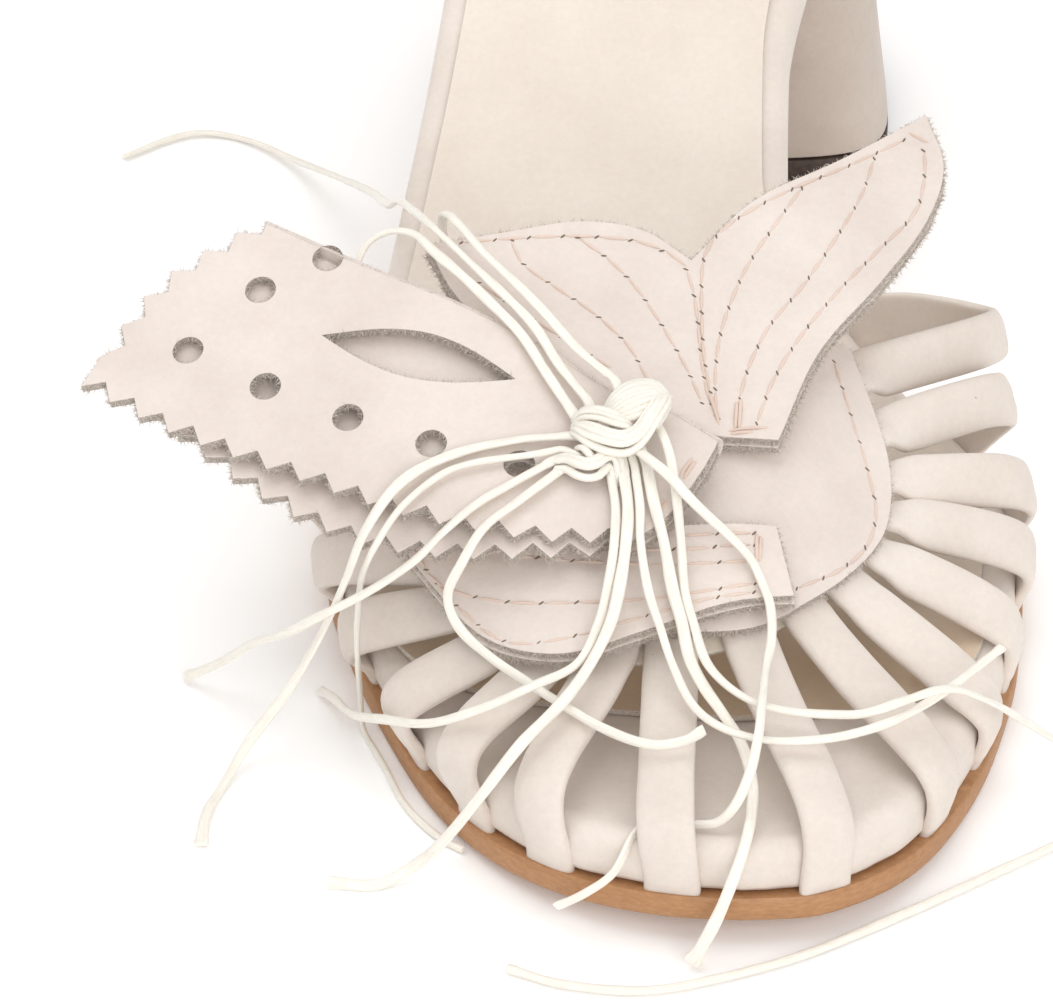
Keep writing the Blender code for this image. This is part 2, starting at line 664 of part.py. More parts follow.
def sheet(name, outline, holes, height, thickness, cells, surface, group):
    """A sheet with its top on the height function: outline filled, cut into cells, bent and given its wall."""
    bm = bmesh.new()
    for loop in [outline] + holes:
        corners = [bm.verts.new(point) for point in loop]
        for a, b in zip(corners, corners[1:] + corners[:1]):
            bm.edges.new((a, b))
    bmesh.ops.triangle_fill(bm, edges=bm.edges, use_beauty=True, normal=(0, 0, 1))
    for axis in (0, 1):
        low = min(v.co[axis] for v in bm.verts)
        high = max(v.co[axis] for v in bm.verts)
        for k in range(1, cells[axis]):
            place = Vector((0, 0, 0))
            place[axis] = low + (high - low) * k / cells[axis]
            direction = Vector((0, 0, 0))
            direction[axis] = 1
            everything = bm.verts[:] + bm.edges[:] + bm.faces[:]
            bmesh.ops.bisect_plane(bm, geom=everything, plane_co=place, plane_no=direction)
    bmesh.ops.triangulate(bm, faces=bm.faces)
    for v in bm.verts:
        v.co.z = height(v.co.x, v.co.y)
    bm.normal_update()
    for face in bm.faces:
        if face.normal.z < 0:
            face.normal_flip()
    mesh = bpy.data.meshes.new(name)
    bm.to_mesh(mesh)
    bm.free()
    mesh.materials.append(surface)
    made = bpy.data.objects.new(name, mesh)
    group.objects.link(made)
    wall = made.modifiers.new("wall", "SOLIDIFY")
    wall.thickness = thickness
    wall.offset = -1.0
    return made


def patch_top(x, y):
    return dome_z(x, y) + PATCH_LIFT + PATCH_THICK


def lower_fin_top(x, y):
    over_patch = patch_top(0.0, max(y, FIN_HINGE_Y)) + FIN_SLOPE * min(y - FIN_HINGE_Y, 0.0)
    return over_patch + FIN_LIFT + FIN_THICK - x * x / (2 * FIN_RADIUS)


def wing_z(x, y):
    """Top of the wing: a plane that climbs towards the heel and droops at its free end."""
    away = min(x - NECK.x, 0.0)
    return NECK.z + FIN_RISE * (y - NECK.y) - WING_DROOP * away * away


def tail_top(x, y):
    return wing_z(x, y) - TAIL_DROP


def under_z(x, y):
    """Top of the wing's lower half, which hangs away from the upper half along the middle of its front edge."""
    along = min(max((SAG_START_X - x) / SAG_LENGTH, 0.0), 1.0)
    forward = min(max((wing_front_y(x) + SAG_DEPTH - y) / SAG_DEPTH, 0.0), 1.0)
    return wing_z(x, y) - WING_THICK - GAP - UNDER_SAG * math.sin(math.pi * along) * forward


def wing_front_y(x):
    rows = sorted(WING_FRONT_EDGE)
    return float(np.interp(x / MM, [row[0] for row in rows], [row[1] for row in rows])) * MM


def build_patch(surface, group):
    """The patch follows the hub's rim, a little outside it."""
    rows = []
    for middle, half_rim in hub_points()[1:]:
        edge = middle + (middle - HUB_CENTRE).normalized() * PATCH_MARGIN
        rows.append((edge.x / MM, edge.y / MM, 0))
    outline = smooth_line(rows + list(PATCH_BACK), 1, closed=True)
    return sheet("vamp_patch", outline, [], patch_top, PATCH_THICK, (5, 5), surface, group)


def build_wing(surface, group):
    """One sheet folded double: the upper half has all its holes, the lower half only those that go through."""
    plain = smooth_line(WING_END_EDGE, 2)[:-1] + smooth_line(WING_FOLD_EDGE, 2)[:-1]
    tip = pinked(WING_TIP_EDGE, TOOTH_PITCH, TOOTH_DEPTH)[:-1]
    front = pinked(WING_FRONT_EDGE, TOOTH_PITCH, TOOTH_DEPTH)[:-1]
    holes = [ring(x * MM, y * MM, HOLE_DIAMETER / 2) for x, y, through in WING_HOLES]
    holes.append(lens(LENS_ENDS, LENS_BULGE))
    sheet("wing_top", front + plain + tip, holes, wing_z, WING_THICK, (8, 1), surface, group)
    tip = pinked(UNDER_TIP_EDGE, TOOTH_PITCH, TOOTH_DEPTH)[:-1]
    front = pinked(UNDER_FRONT_EDGE, TOOTH_PITCH, TOOTH_DEPTH)[:-1]
    holes = [ring(x * MM, y * MM, HOLE_DIAMETER / 2) for x, y, through in WING_HOLES if through]
    sheet("wing_under", front + plain + tip, holes, under_z, WING_THICK, (8, 4), surface, group)


# ---------------------------------------------------------------- knot and cords
# The knot is three lumps grown together: centre and half sizes in millimetres.
LUMP_COLUMNS = ("x", "y", "z", "half_x", "half_y", "half_z")
KNOT_LUMPS = (
    (-4.5, -17.6, 43.6, 4.3, 3.4, 2.0),
    (-8.5, -21.5, 42.4, 5.0, 3.2, 2.1),
    (-11.2, -25.2, 40.4, 4.0, 2.2, 1.5),
)
# Each cord's route from the knot to its cut end, in millimetres.
CORD_ROUTES = {
    "cord_back": (
        (-11.8, -17.5, 43.3), (-15, -12.5, 44.8), (-18, -6.5, 46.5), (-21.5, -2, 48), (-25.5, 2.5, 49.6),
        (-29, 7, 50.7), (-32, 13, 50), (-34.2, 25, 44.3), (-36.2, 41, 35.5), (-37.9, 57, 24.8), (-41, 74, 16.3),
        (-46, 91, 8), (-52, 104, 2.5), (-60, 113, 0.7), (-68, 115, 0.7), (-78, 108.5, 0.7)),
    "cord_wrap": (
        (-13.7, -19, 42.7), (-16.7, -13.3, 44.3), (-19.8, -7.3, 46), (-23.4, -2.8, 47.5), (-27.3, 1.8, 48.9),
        (-30.8, 6.2, 49.6), (-33.5, 10.5, 49.6), (-36.5, 12.3, 48.9), (-39.5, 12, 47.2), (-41, 9.5, 44.5),
        (-40.5, 4, 41), (-39.5, -3, 37.5), (-39, -10, 32.5)),
    "cord_lobe": (
        (-8.5, -15.8, 45.2), (-12.6, -10.7, 45.9), (-16.8, -4.5, 47.4), (-20.3, -0.2, 48.9), (-24.2, 4.2, 50.4),
        (-27.4, 9.3, 51.4), (-29.4, 14, 50.5), (-30, 17, 47), (-29.5, 16.5, 43.5), (-27.5, 13, 42.5)),
    "cord_far_left": (
        (-14.6, -22.3, 40.7), (-20.5, -22.5, 40.2), (-28, -24, 39.2), (-34.5, -28.5, 38.2), (-38.9, -34, 34.8),
        (-41.5, -35.2, 28), (-44.5, -35, 20), (-49, -35.3, 11), (-54, -36, 3.5), (-57, -41, 0.7), (-59, -47, 0.7),
        (-59.5, -53.5, 0.7)),
    "cord_side_left": (
        (-15.4, -24.6, 40.2), (-18.7, -25, 39.7), (-22, -25.3, 39.4), (-25.5, -25.8, 39.1), (-28.6, -26.7, 38.6),
        (-31.4, -28.6, 37.8), (-34.6, -31.8, 36.5), (-36.9, -34.8, 34.6), (-38.6, -35.6, 31.5), (-39.7, -34, 26.8),
        (-40.2, -32, 20.5), (-40.4, -30.5, 15.3), (-40.4, -29.5, 10), (-40.2, -28.8, 4.5), (-39.9, -30, 1),
        (-38.2, -34.5, 0.7), (-36.6, -38.8, 0.7), (-34.8, -44.3, 0.7), (-32.4, -48.8, 0.7), (-29.6, -52.4, 0.7),
        (-27, -54.6, 0.7)),
    "cord_near_left": (
        (-16.3, -26, 39.2), (-20.5, -28.5, 38.1), (-25, -31.3, 36.9), (-29, -34.8, 35.3), (-33, -37.2, 32.2),
        (-38.5, -37.6, 28), (-45.2, -36.4, 23), (-49.5, -33, 18), (-53.5, -28, 13), (-58.5, -23, 6),
        (-63, -19, 0.8)),
    "cord_loop": (
        (-15.2, -27.5, 38.9), (-20.4, -31.8, 37.2), (-24.4, -35.4, 35.9), (-27.2, -38.6, 32.6), (-28.8, -39.8, 28.8),
        (-27.4, -42, 25.6), (-23.5, -45.2, 23.4), (-19.5, -48.4, 22.4), (-14.5, -53, 21.8), (-9, -58, 21.7),
        (-4, -61, 22), (0, -60.8, 22.4), (2.4, -59.4, 23)),
    "cord_front_left": (
        (-7.1, -27.6, 39), (-6.6, -32.5, 37.3), (-6.8, -37, 35.7), (-7.6, -41.5, 32), (-8.8, -45.5, 28.9),
        (-11.3, -49.5, 25.6), (-14.5, -53.8, 23.3), (-19.7, -59.5, 21), (-25, -63.5, 15.5), (-29.5, -62.5, 8),
        (-33.5, -60, 2), (-37.5, -61.5, 0.7), (-43.5, -61, 0.7)),
    "cord_fork": (
        (-8.6, -28.3, 38.6), (-8.1, -33, 36.9), (-8.4, -38.2, 34.8), (-9.3, -41.8, 30.8), (-10.4, -45, 28),
        (-13, -49, 25.2), (-18.2, -52, 24.2), (-24.2, -53, 21.6), (-30.8, -50.5, 17.3), (-36.8, -43, 12.2),
        (-41, -34.5, 6.6), (-43.8, -26.5, 3.2), (-45.6, -21.8, 0.8)),
    "cord_right_rest": (
        (-5.6, -27.6, 39), (-5.1, -32.5, 37.2), (-5.1, -37, 35.3), (-4.2, -41.8, 31.3), (-2.7, -46, 28.4),
        (-1.2, -50, 25.6), (1.2, -54.8, 23.2), (4.6, -58, 22.3), (9.6, -60, 22), (14.6, -60.2, 22),
        (20, -58.8, 21.8), (26, -54.5, 20.9), (32, -48.5, 20.4), (36.5, -43, 20.2), (40, -38.5, 20)),
    "cord_right_floor": (
        (-3, -21.9, 42.4), (-1.9, -25, 41.8), (-1.3, -27.1, 40.8), (-0.7, -31, 38.6), (-0.1, -34.7, 34.1),
        (0.4, -41, 30.2), (1.5, -44.8, 27.8), (2.7, -49, 26), (4.4, -51.6, 25), (7, -54, 24.2),
        (10, -55.4, 23.6), (13.5, -56, 23.2), (17.5, -56, 22.8), (22, -55.3, 22.4), (27, -53, 22.6),
        (32.5, -49.5, 21.8), (38, -45, 16.5), (43, -41, 10.5), (47.5, -37, 4.5),
        (51.5, -35, 1.2), (55.5, -36, 0.7), (57, -41, 0.7), (54, -47.5, 0.7), (48, -52.5, 0.7), (37, -60.3, 0.7),
        (26.5, -67.5, 0.7), (14.5, -75, 0.7), (4, -79.5, 0.7), (-5, -81.8, 0.7), (-15, -80.5, 0.7),
        (-21.5, -77.5, 0.7)),
    "cord_toe": (
        (-4.1, -27.2, 39.2), (-3.4, -32, 37.6), (-2.2, -36.4, 34.6), (-1.2, -41, 30.9), (-0.1, -44.6, 28.4),
        (0.9, -48.4, 25.5), (2.6, -51.6, 23.6), (4.8, -54.2, 21.6), (7, -57.4, 19.5), (8.3, -62, 17),
        (8.1, -66, 15.6), (7.5, -69.8, 14.9), (6.3, -72.8, 12.4), (3.9, -75.6, 7), (1.6, -76.8, 2.4),
        (0.8, -77.2, 1.1)),
    "cord_under_strap": (
        (-5.6, -25.6, 41.1), (-3.6, -28.8, 41.4), (-1.4, -31.4, 40.9), (0.7, -32.8, 39), (3.5, -33.7, 36.3),
        (6, -34.2, 33.9), (8.6, -36.4, 31.9), (10, -38.6, 29.8), (10.8, -40.4, 28.4), (11.1, -42.6, 26.6),
        (10.9, -45.2, 25.2), (10.2, -49, 24.8), (9.8, -53.4, 25.3), (9.4, -57.6, 25.3), (8.9, -61.8, 24),
        (7.7, -65.2, 20.4), (5.9, -67.2, 17.2), (3.9, -67.6, 15.2), (1.5, -67.2, 14.6), (-2, -66.8, 14.4),
        (-5.5, -67.4, 14.1), (-8.5, -70.6, 10), (-12, -71, 7), (-15.5, -70.5, 4.5)),
}
CORD_STEP = 5.0 * MM


def smooth_route(route, step):
    """Evenly spaced points on a smooth curve through a route's points."""
    points = [Vector(p) * MM for p in route]
    dense = []
    for i in range(len(points) - 1):
        chord = (points[i + 1] - points[i]).length
        slopes = []
        for k in (i, i + 1):
            before, after = points[max(k - 1, 0)], points[min(k + 1, len(points) - 1)]
            slopes.append((after - before).normalized() * chord)
        dense += [hermite(points[i], points[i + 1], slopes[0], slopes[1], k / FINE) for k in range(FINE)]
    dense.append(points[-1])
    length = run_lengths(dense)
    count = round(length[-1] / step) + 1
    at = np.linspace(0, length[-1], count)
    return [Vector([float(np.interp(d, length, [p[i] for p in dense])) for i in range(3)]) for d in at]


def build_knot(surface, group, operands):
    """The lumps are ellipsoids that follow the wing's slope, joined into one solid."""
    lumps = []
    for k, row in enumerate(KNOT_LUMPS):
        lump = dict(zip(LUMP_COLUMNS, row))
        bm = bmesh.new()
        bmesh.ops.create_uvsphere(bm, u_segments=12, v_segments=8, radius=1.0)
        for v in bm.verts:
            v.co = Vector((v.co.x * lump["half_x"], v.co.y * lump["half_y"],
                           v.co.z * lump["half_z"] + v.co.y * lump["half_y"] * FIN_RISE)) * MM
            v.co += Vector((lump["x"], lump["y"], lump["z"])) * MM
        name, home = ("knot", group) if k == 0 else (f"knot_lump_{k}", operands)
        lumps.append(finish_mesh(name, bm, surface, home))
    for k, other in enumerate(lumps[1:]):
        union = lumps[0].modifiers.new(f"join_{k}", "BOOLEAN")
        union.operation = "UNION"
        union.object = other
        other.hide_render = True
        other.display_type = "WIRE"
    return lumps[0]


def build_cord(name, route, surface, group):
    data = bpy.data.curves.new(name, "CURVE")
    data.dimensions = "3D"
    data.bevel_depth = CORD_DIAMETER / 2
    data.bevel_resolution = 2
    data.use_fill_caps = True
    points = smooth_route(route, CORD_STEP)
    spline = data.splines.new("POLY")
    spline.points.add(len(points) - 1)
    for slot, point in zip(spline.points, points):
        slot.co = (*point, 1.0)
    data.materials.append(surface)
    made = bpy.data.objects.new(name, data)
    group.objects.link(made)
    return made


def main():
    clear_scene()
    shoe = new_collection("sandal")
    pale = material("pale_leather", "#E9DFD9", 0.7)
    tan = material("tan_sole_leather", "#BF8E62", 0.55)
    cream = material("cream_sock_leather", "#F0E7DC", 0.5)
    dark = material("dark_rubber", "#3A2C25", 0.6)
    waxed = material("waxed_cord", "#EFE8E0", 0.5)
    build_outsole(tan, shoe)
    build_footbed(pale, shoe)
    build_sock(cream, shoe)
    build_heel(pale, shoe)
    build_lift(dark, shoe)
    build_upper(pale, shoe)
    build_patch(pale, shoe)
    sheet("lower_fin", smooth_line(LOWER_FIN, 3, closed=True), [], lower_fin_top, FIN_THICK, (6, 3), pale, shoe)
    sheet("tail_fin", smooth_line(TAIL_FIN, 3, closed=True), [], tail_top, FIN_THICK, (4, 1), pale, shoe)
    build_wing(pale, shoe)
    build_knot(waxed, shoe, new_collection("cutters"))
    for name, route in CORD_ROUTES.items():
        build_cord(name, route, waxed, shoe)


main()
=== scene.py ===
# %% [markdown]
# # A strap-cage mule sandal with a tied leather ornament
#
# This lesson dresses a plain CAD sandal until it looks like the real thing.  The CAD model is loaded as a fixed
# frame in metres: the toe points to -Y, +X is the big-toe side, and the floor is z = 0.  Each cell adds one piece
# or one finish.  Sizes are in millimetres times MM, and the tables are the same as those of the CAD source, read
# here with finer steps.

# %% The frame
import math

import bpy
import bmesh
import numpy as np
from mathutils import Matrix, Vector, noise
from mathutils.geometry import delaunay_2d_cdt


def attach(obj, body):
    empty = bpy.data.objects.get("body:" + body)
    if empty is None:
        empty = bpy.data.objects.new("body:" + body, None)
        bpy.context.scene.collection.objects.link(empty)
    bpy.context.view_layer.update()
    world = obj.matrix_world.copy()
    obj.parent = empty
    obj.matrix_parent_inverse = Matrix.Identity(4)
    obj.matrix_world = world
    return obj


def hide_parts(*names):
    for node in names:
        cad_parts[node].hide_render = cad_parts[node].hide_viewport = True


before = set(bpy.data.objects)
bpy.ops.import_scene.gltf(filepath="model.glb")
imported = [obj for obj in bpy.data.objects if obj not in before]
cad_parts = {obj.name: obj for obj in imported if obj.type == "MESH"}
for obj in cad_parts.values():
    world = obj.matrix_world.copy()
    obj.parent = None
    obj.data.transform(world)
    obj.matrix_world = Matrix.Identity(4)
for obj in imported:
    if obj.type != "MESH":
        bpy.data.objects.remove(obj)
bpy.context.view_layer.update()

MM = 0.001
GAP = 0.3 * MM

# %% [markdown]
# ## Camera
#
# A long lens from the front and about 35 degrees above the floor.  It sees the toe and the ornament from close to
# the toe's own direction, and it cuts the heel off at the top of the picture.

# %% Camera
def in_scene(name, data):
    """A new object at the origin, linked to the scene."""
    made = bpy.data.objects.new(name, data)
    bpy.context.scene.collection.objects.link(made)
    return made


camera_data = bpy.data.cameras.new("camera")
camera_data.lens = 205.13
camera_data.sensor_width = 36.0
camera_data.clip_start = 0.02
camera_data.clip_end = 20.0
camera = in_scene("camera", camera_data)
camera.location = (-0.0191, -0.6386, 0.46254)
camera.rotation_euler = (math.radians(55), 0, 0)
bpy.context.scene.camera = camera

# %% [markdown]
# ## Small helpers
#
# Every piece is made as a plain mesh at the origin, rides on the one body and says which
# CAD node it stands for.

# %% Helpers for pieces
def own(piece, slot, *nodes):
    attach(piece, "root")
    if nodes:
        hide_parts(*nodes)
    return piece


def mesh_piece(name, verts, faces, finishes, face_finish=None, sharp=50):
    """A mesh object from lists; face_finish gives each face the number of its finish."""
    mesh = bpy.data.meshes.new(name)
    mesh.from_pydata([tuple(v) for v in verts], [], faces)
    for finish in finishes:
        mesh.materials.append(finish)
    if face_finish is not None:
        mesh.polygons.foreach_set("material_index", face_finish)
    mesh.shade_smooth()
    mesh.set_sharp_from_angle(angle=math.radians(sharp))
    mesh.validate()
    return in_scene(name, mesh)


def facing_out(piece):
    """Turns every face of a closed mesh outwards."""
    bm = bmesh.new()
    bm.from_mesh(piece.data)
    bmesh.ops.recalc_face_normals(bm, faces=bm.faces)
    bm.to_mesh(piece.data)
    bm.free()
    return piece


def tube_faces(rings, count):
    """Quads between rings of count points each, the points numbered ring after ring."""
    return [(k * count + i, k * count + (i + 1) % count, (k + 1) * count + (i + 1) % count, (k + 1) * count + i)
            for k in range(rings - 1) for i in range(count)]


def tell(label, *pieces):
    print(label, "faces:", *[len(piece.data.polygons) for piece in pieces])


def joined(parts):
    """One run of vertices, faces and per-face values from several parts."""
    verts, faces, values = [], [], []
    for part_verts, part_faces, part_values in parts:
        base = len(verts)
        verts += part_verts
        faces += [tuple(base + i for i in face) for face in part_faces]
        values += part_values
    return verts, faces, values


def rounded_edges(piece, width):
    """A live bevel on the hard edges, with the same levels in the view and the render."""
    bevel = piece.modifiers.new("edge", "BEVEL")
    bevel.width = width
    bevel.segments = 2
    bevel.limit_method = "ANGLE"
    bevel.angle_limit = math.radians(50)
    bevel.use_clamp_overlap = True
    return piece


# %% Helpers for curves
def hermite(a, b, da, db, t):
    return ((2 * t**3 - 3 * t**2 + 1) * a + (t**3 - 2 * t**2 + t) * da
            + (-2 * t**3 + 3 * t**2) * b + (t**3 - t**2) * db)


def monotone(xs, ys, x):
    """Shape-keeping cubic through (xs, ys), read at x: it never overshoots its points."""
    xs, ys, x = np.asarray(xs, float), np.asarray(ys, float), np.asarray(x, float)
    steps = np.diff(xs)
    slopes = np.diff(ys) / steps
    tangents = np.zeros(len(xs))
    tangents[0], tangents[-1] = slopes[0], slopes[-1]
    for i in range(1, len(xs) - 1):
        if slopes[i - 1] * slopes[i] > 0:
            a = 2 * steps[i] + steps[i - 1]
            b = steps[i] + 2 * steps[i - 1]
            tangents[i] = (a + b) / (a / slopes[i - 1] + b / slopes[i])
    i = np.clip(np.searchsorted(xs, x) - 1, 0, len(xs) - 2)
    return hermite(ys[i], ys[i + 1], steps[i] * tangents[i], steps[i] * tangents[i + 1], (x - xs[i]) / steps[i])


def spline(points, per_span, sharp=(), closed=False):
    """A dense smooth curve through points, straight into each sharp one, given by its number."""
    count = len(points)
    made = []
    for i in range(count if closed else count - 1):
        j = (i + 1) % count
        chord = points[j] - points[i]
        slopes = []
        for k in (i, j):
            if k in sharp or not (closed or 0 < k < count - 1):
                slopes.append(chord)
            else:
                slopes.append((points[(k + 1) % count] - points[k - 1]).normalized() * chord.length)
        made += [hermite(points[i], points[j], *slopes, step / per_span) for step in range(per_span)]
    return made if closed else made + [points[-1]]


def column(table, names, name):
    return [row[names.index(name)] * MM for row in table]


def smooth_step(t):
    t = min(max(t, 0.0), 1.0)
    return t * t * (3 - 2 * t)


def run_lengths(points):
    length = [0.0]
    for a, b in zip(points, points[1:]):
        length.append(length[-1] + (b - a).length)
    return length


def even_points(points, step):
    """The same run of points, evenly spaced at about step."""
    length = run_lengths(points)
    at = np.linspace(0, length[-1], max(2, round(length[-1] / step) + 1))
    axes = [np.interp(at, length, [p[i] for p in points]) for i in range(3)]
    return [Vector(p) for p in zip(*axes)]


def wander(key, at):
    """A repeatable soft random number from -1 to 1."""
    return noise.noise(Vector((at, key * 7.31, key * 1.7)))


# %% [markdown]
# ## Finishes
#
# One function turns sRGB hex values to linear and one adds a node.  Grain, pores and fibres are noise whose scale
# is one over a real size in metres, read on Object coordinates, so they keep their size on every piece.  Only the
# cords are read on a UV map of their own, so that the yarn's fibres follow them.

# %% Node helpers
def linear(hex_colour):
    values = [int(hex_colour[i:i + 2], 16) / 255 for i in (1, 3, 5)]
    return [c / 12.92 if c <= 0.04045 else ((c + 0.055) / 1.055) ** 2.4 for c in values] + [1.0]


def add(tree, kind, settings=None, **links):
    """Adds a node: settings are its properties, links its inputs by name or, as i0, i1, by number."""
    node = tree.nodes.new(kind)
    for key, value in (settings or {}).items():
        setattr(node, key, value)
    for key, value in links.items():
        numbered = key[0] == "i" and key[1:].isdigit()
        socket = node.inputs[int(key[1:]) if numbered else key.replace("_", " ")]
        if isinstance(value, bpy.types.NodeSocket):
            tree.links.new(value, socket)
        else:
            socket.default_value = value
    return node


def calc(tree, operation, *values):
    """One step of arithmetic on numbers or outputs."""
    inputs = {f"i{k}": value for k, value in enumerate(values)}
    return add(tree, "ShaderNodeMath", {"operation": operation}, **inputs).outputs[0]


def mixed(tree, share, under, over, blend="MIX"):
    """A colour over another, by a share that is a number or an output."""
    return add(tree, "ShaderNodeMix", {"data_type": "RGBA", "blend_type": blend}, i0=share, i6=under,
               i7=over).outputs[2]


def spread(tree, value, low, high, to_low, to_high):
    return add(tree, "ShaderNodeMapRange", Value=value, i1=low, i2=high, i3=to_low, i4=to_high).outputs["Result"]


def cloudy(tree, place, scale, detail, roughness=0.5):
    return add(tree, "ShaderNodeTexNoise", Vector=place, Scale=scale, Detail=detail,
               Roughness=roughness).outputs["Fac"]


def dress(tree, shader, colour, height, strength, depth_mm):
    """Gives the shader its colour and a bump."""
    relief = add(tree, "ShaderNodeBump", Strength=strength, Distance=depth_mm * MM, Height=height)
    tree.links.new(colour, shader.inputs["Base Color"])
    tree.links.new(relief.outputs["Normal"], shader.inputs["Normal"])


def per(size_mm):
    """Noise scale whose features are about this many millimetres wide, on coordinates in metres."""
    return 1 / (size_mm * MM)


def ramp(tree, factor, stops):
    node = add(tree, "ShaderNodeValToRGB", Fac=factor)
    elements = node.color_ramp.elements
    elements[0].position, elements[0].color = stops[0][0], linear(stops[0][1])
    elements[1].position, elements[1].color = stops[1][0], linear(stops[1][1])
    for place, colour in stops[2:]:
        elements.new(place).color = linear(colour)
    return node.outputs["Color"]


def new_finish(name, roughness, **constants):
    """A material with its Principled shader; constants are set straight on the shader's sockets."""
    finish = bpy.data.materials.new(name)
    finish.use_nodes = True
    shader = finish.node_tree.nodes["Principled BSDF"]
    shader.inputs["Roughness"].default_value = roughness
    for key, value in constants.items():
        shader.inputs[key.replace("_", " ")].default_value = value
    return finish, finish.node_tree, shader


# %% [markdown]
# ### Leathers
#
# The straps, footbed wrap, heel cover and ornament are soft full-grain calf, bone white with a pink cast, lightly
# buffed: matt, with a fine pore grain of about 0.4 mm, cloudy tone over 10 to 25 mm and a very few dark hair
# specks.  Cut edges show the grey-brown fibres inside the hide.

# %% Leather finishes
HAIR_SPACING, HAIR_SPECK, HAIR_COLOUR = 9, 0.014, "#6F625B"
# The sock's painted shade: its colour is multiplied darker from y = -6 mm to y = -30 mm, under the strap cage and
# patch.
PAINTED_SHADE_FROM, PAINTED_SHADE_TO = -6 * MM, -30 * MM


def calf_leather(name, light, dark, pore=0.42, bump=0.22, specks=True, painted_shade=None):
    finish, tree, shader = new_finish(name, 0.62, Sheen_Weight=0.12, Sheen_Roughness=0.5,
                                      Specular_IOR_Level=0.32, Subsurface_Weight=0.06,
                                      Subsurface_Radius=(0.004, 0.0025, 0.0018), Subsurface_Scale=0.4)
    place = add(tree, "ShaderNodeTexCoord").outputs["Object"]
    colour = ramp(tree, cloudy(tree, place, per(16), 3.0, 0.55), ((0.34, dark), (0.66, light)))
    grain = add(tree, "ShaderNodeTexVoronoi", {"feature": "F1"}, Vector=place, Scale=per(pore)).outputs["Distance"]
    mottle = cloudy(tree, place, per(0.9), 4.0, 0.7)
    colour = mixed(tree, 1.0, colour, spread(tree, mottle, 0.3, 0.7, 0.955, 1.02), "MULTIPLY")
    if specks:
        spot = add(tree, "ShaderNodeTexVoronoi", {"feature": "F1"}, Vector=place, Scale=per(HAIR_SPACING))
        near = calc(tree, "LESS_THAN", spot.outputs["Distance"], HAIR_SPECK)
        colour = mixed(tree, near, colour, linear(HAIR_COLOUR))
    # Painted shade: a tint multiplied in towards the toe, where the strap cage shades the leather.
    if painted_shade:
        forward = add(tree, "ShaderNodeSeparateXYZ", Vector=place).outputs["Y"]
        colour = mixed(tree, spread(tree, forward, PAINTED_SHADE_FROM, PAINTED_SHADE_TO, 0.0, 1.0), colour, linear(painted_shade), "MULTIPLY")
    dress(tree, shader, colour, calc(tree, "MULTIPLY_ADD", grain, 0.5, mottle), bump, 0.12)
    return finish


def grained(name, roughness, stops, scale, detail, uneven, bump, deep, stretch=(1, 1, 1), uv=False, **constants):
    """A material whose colour and bump are one noise, read on the object or on the piece's own UV map."""
    finish, tree, shader = new_finish(name, roughness, **constants)
    place = (add(tree, "ShaderNodeUVMap", {"uv_map": "along"}).outputs["UV"] if uv
             else add(tree, "ShaderNodeTexCoord").outputs["Object"])
    drawn = add(tree, "ShaderNodeMapping", Vector=place, Scale=stretch).outputs[0]
    grain = cloudy(tree, drawn, scale, detail, uneven)
    dress(tree, shader, ramp(tree, grain, stops), grain, bump, deep)
    return finish


def cut_edge(name, light, dark):
    """Raw cut hide: loose grey-brown fibres about 0.3 mm across, matt and uneven."""
    return grained(name, 0.92, ((0.36, dark), (0.64, light)), per(0.32), detail=5, uneven=0.75, bump=0.9, deep=0.2,
                   Specular_IOR_Level=0.12, Sheen_Weight=0.25)


bone_calf = calf_leather("bone_calf_leather", "#E3D9D0", "#DACFC5")
pink_calf = calf_leather("blush_calf_leather", "#E1D6CE", "#D7CBC3", pore=0.38, bump=0.26)
# The sock's tint towards the toe is painted shade under the strap cage.
sock_calf = calf_leather("cream_sock_leather", "#E5DBCF", "#DFD4C8", pore=0.5, bump=0.1, specks=False, painted_shade="#EBDDCB")
lining_calf = calf_leather("cream_lining_leather", "#EDE3D3", "#E2D6C4", pore=0.6, bump=0.2, specks=False)
raw_edge = cut_edge("raw_leather_edge", "#CFC5BB", "#9A8F85")
# Painted shade: the heel cover is the same bone calf, coloured darker because the heel stands in shade under the
# arch.
shaded_heel_calf = calf_leather("shaded_heel_cover_leather", "#CABDB2", "#BFB2A6")
pale_edge = cut_edge("pale_leather_edge", "#E2D8CE", "#BBB0A5")
LEATHERS = bone_calf, pink_calf, sock_calf, lining_calf, shaded_heel_calf, raw_edge, pale_edge
print("leather finishes:", [finish.name for finish in LEATHERS])

# %% [markdown]
# ### Sole leather, rubber, thread and cord
#
# The outsole is vegetable-tanned bend leather with a burnished edge, so its layers show as fine level lines.  The
# top lift is dark rubber.  The cords are flat waxed yarn, many fibres side by side, and the stitching thread is
# peach polyester.

# %% Sole and cord finishes
tan_sole = grained("burnished_bend_leather", 0.5, ((0.3, "#A4764F"), (0.52, "#AF8159"), (0.72, "#BA8C64")), per(1.2),
                   detail=5, uneven=0.65, bump=0.15, deep=0.1, stretch=(1, 1, 3), Specular_IOR_Level=0.4)
rubber = grained("dark_lift_rubber", 0.55, ((0.35, "#33251E"), (0.7, "#4A382E")), per(0.8), detail=3, uneven=0.5,
                 bump=0.3, deep=0.1)
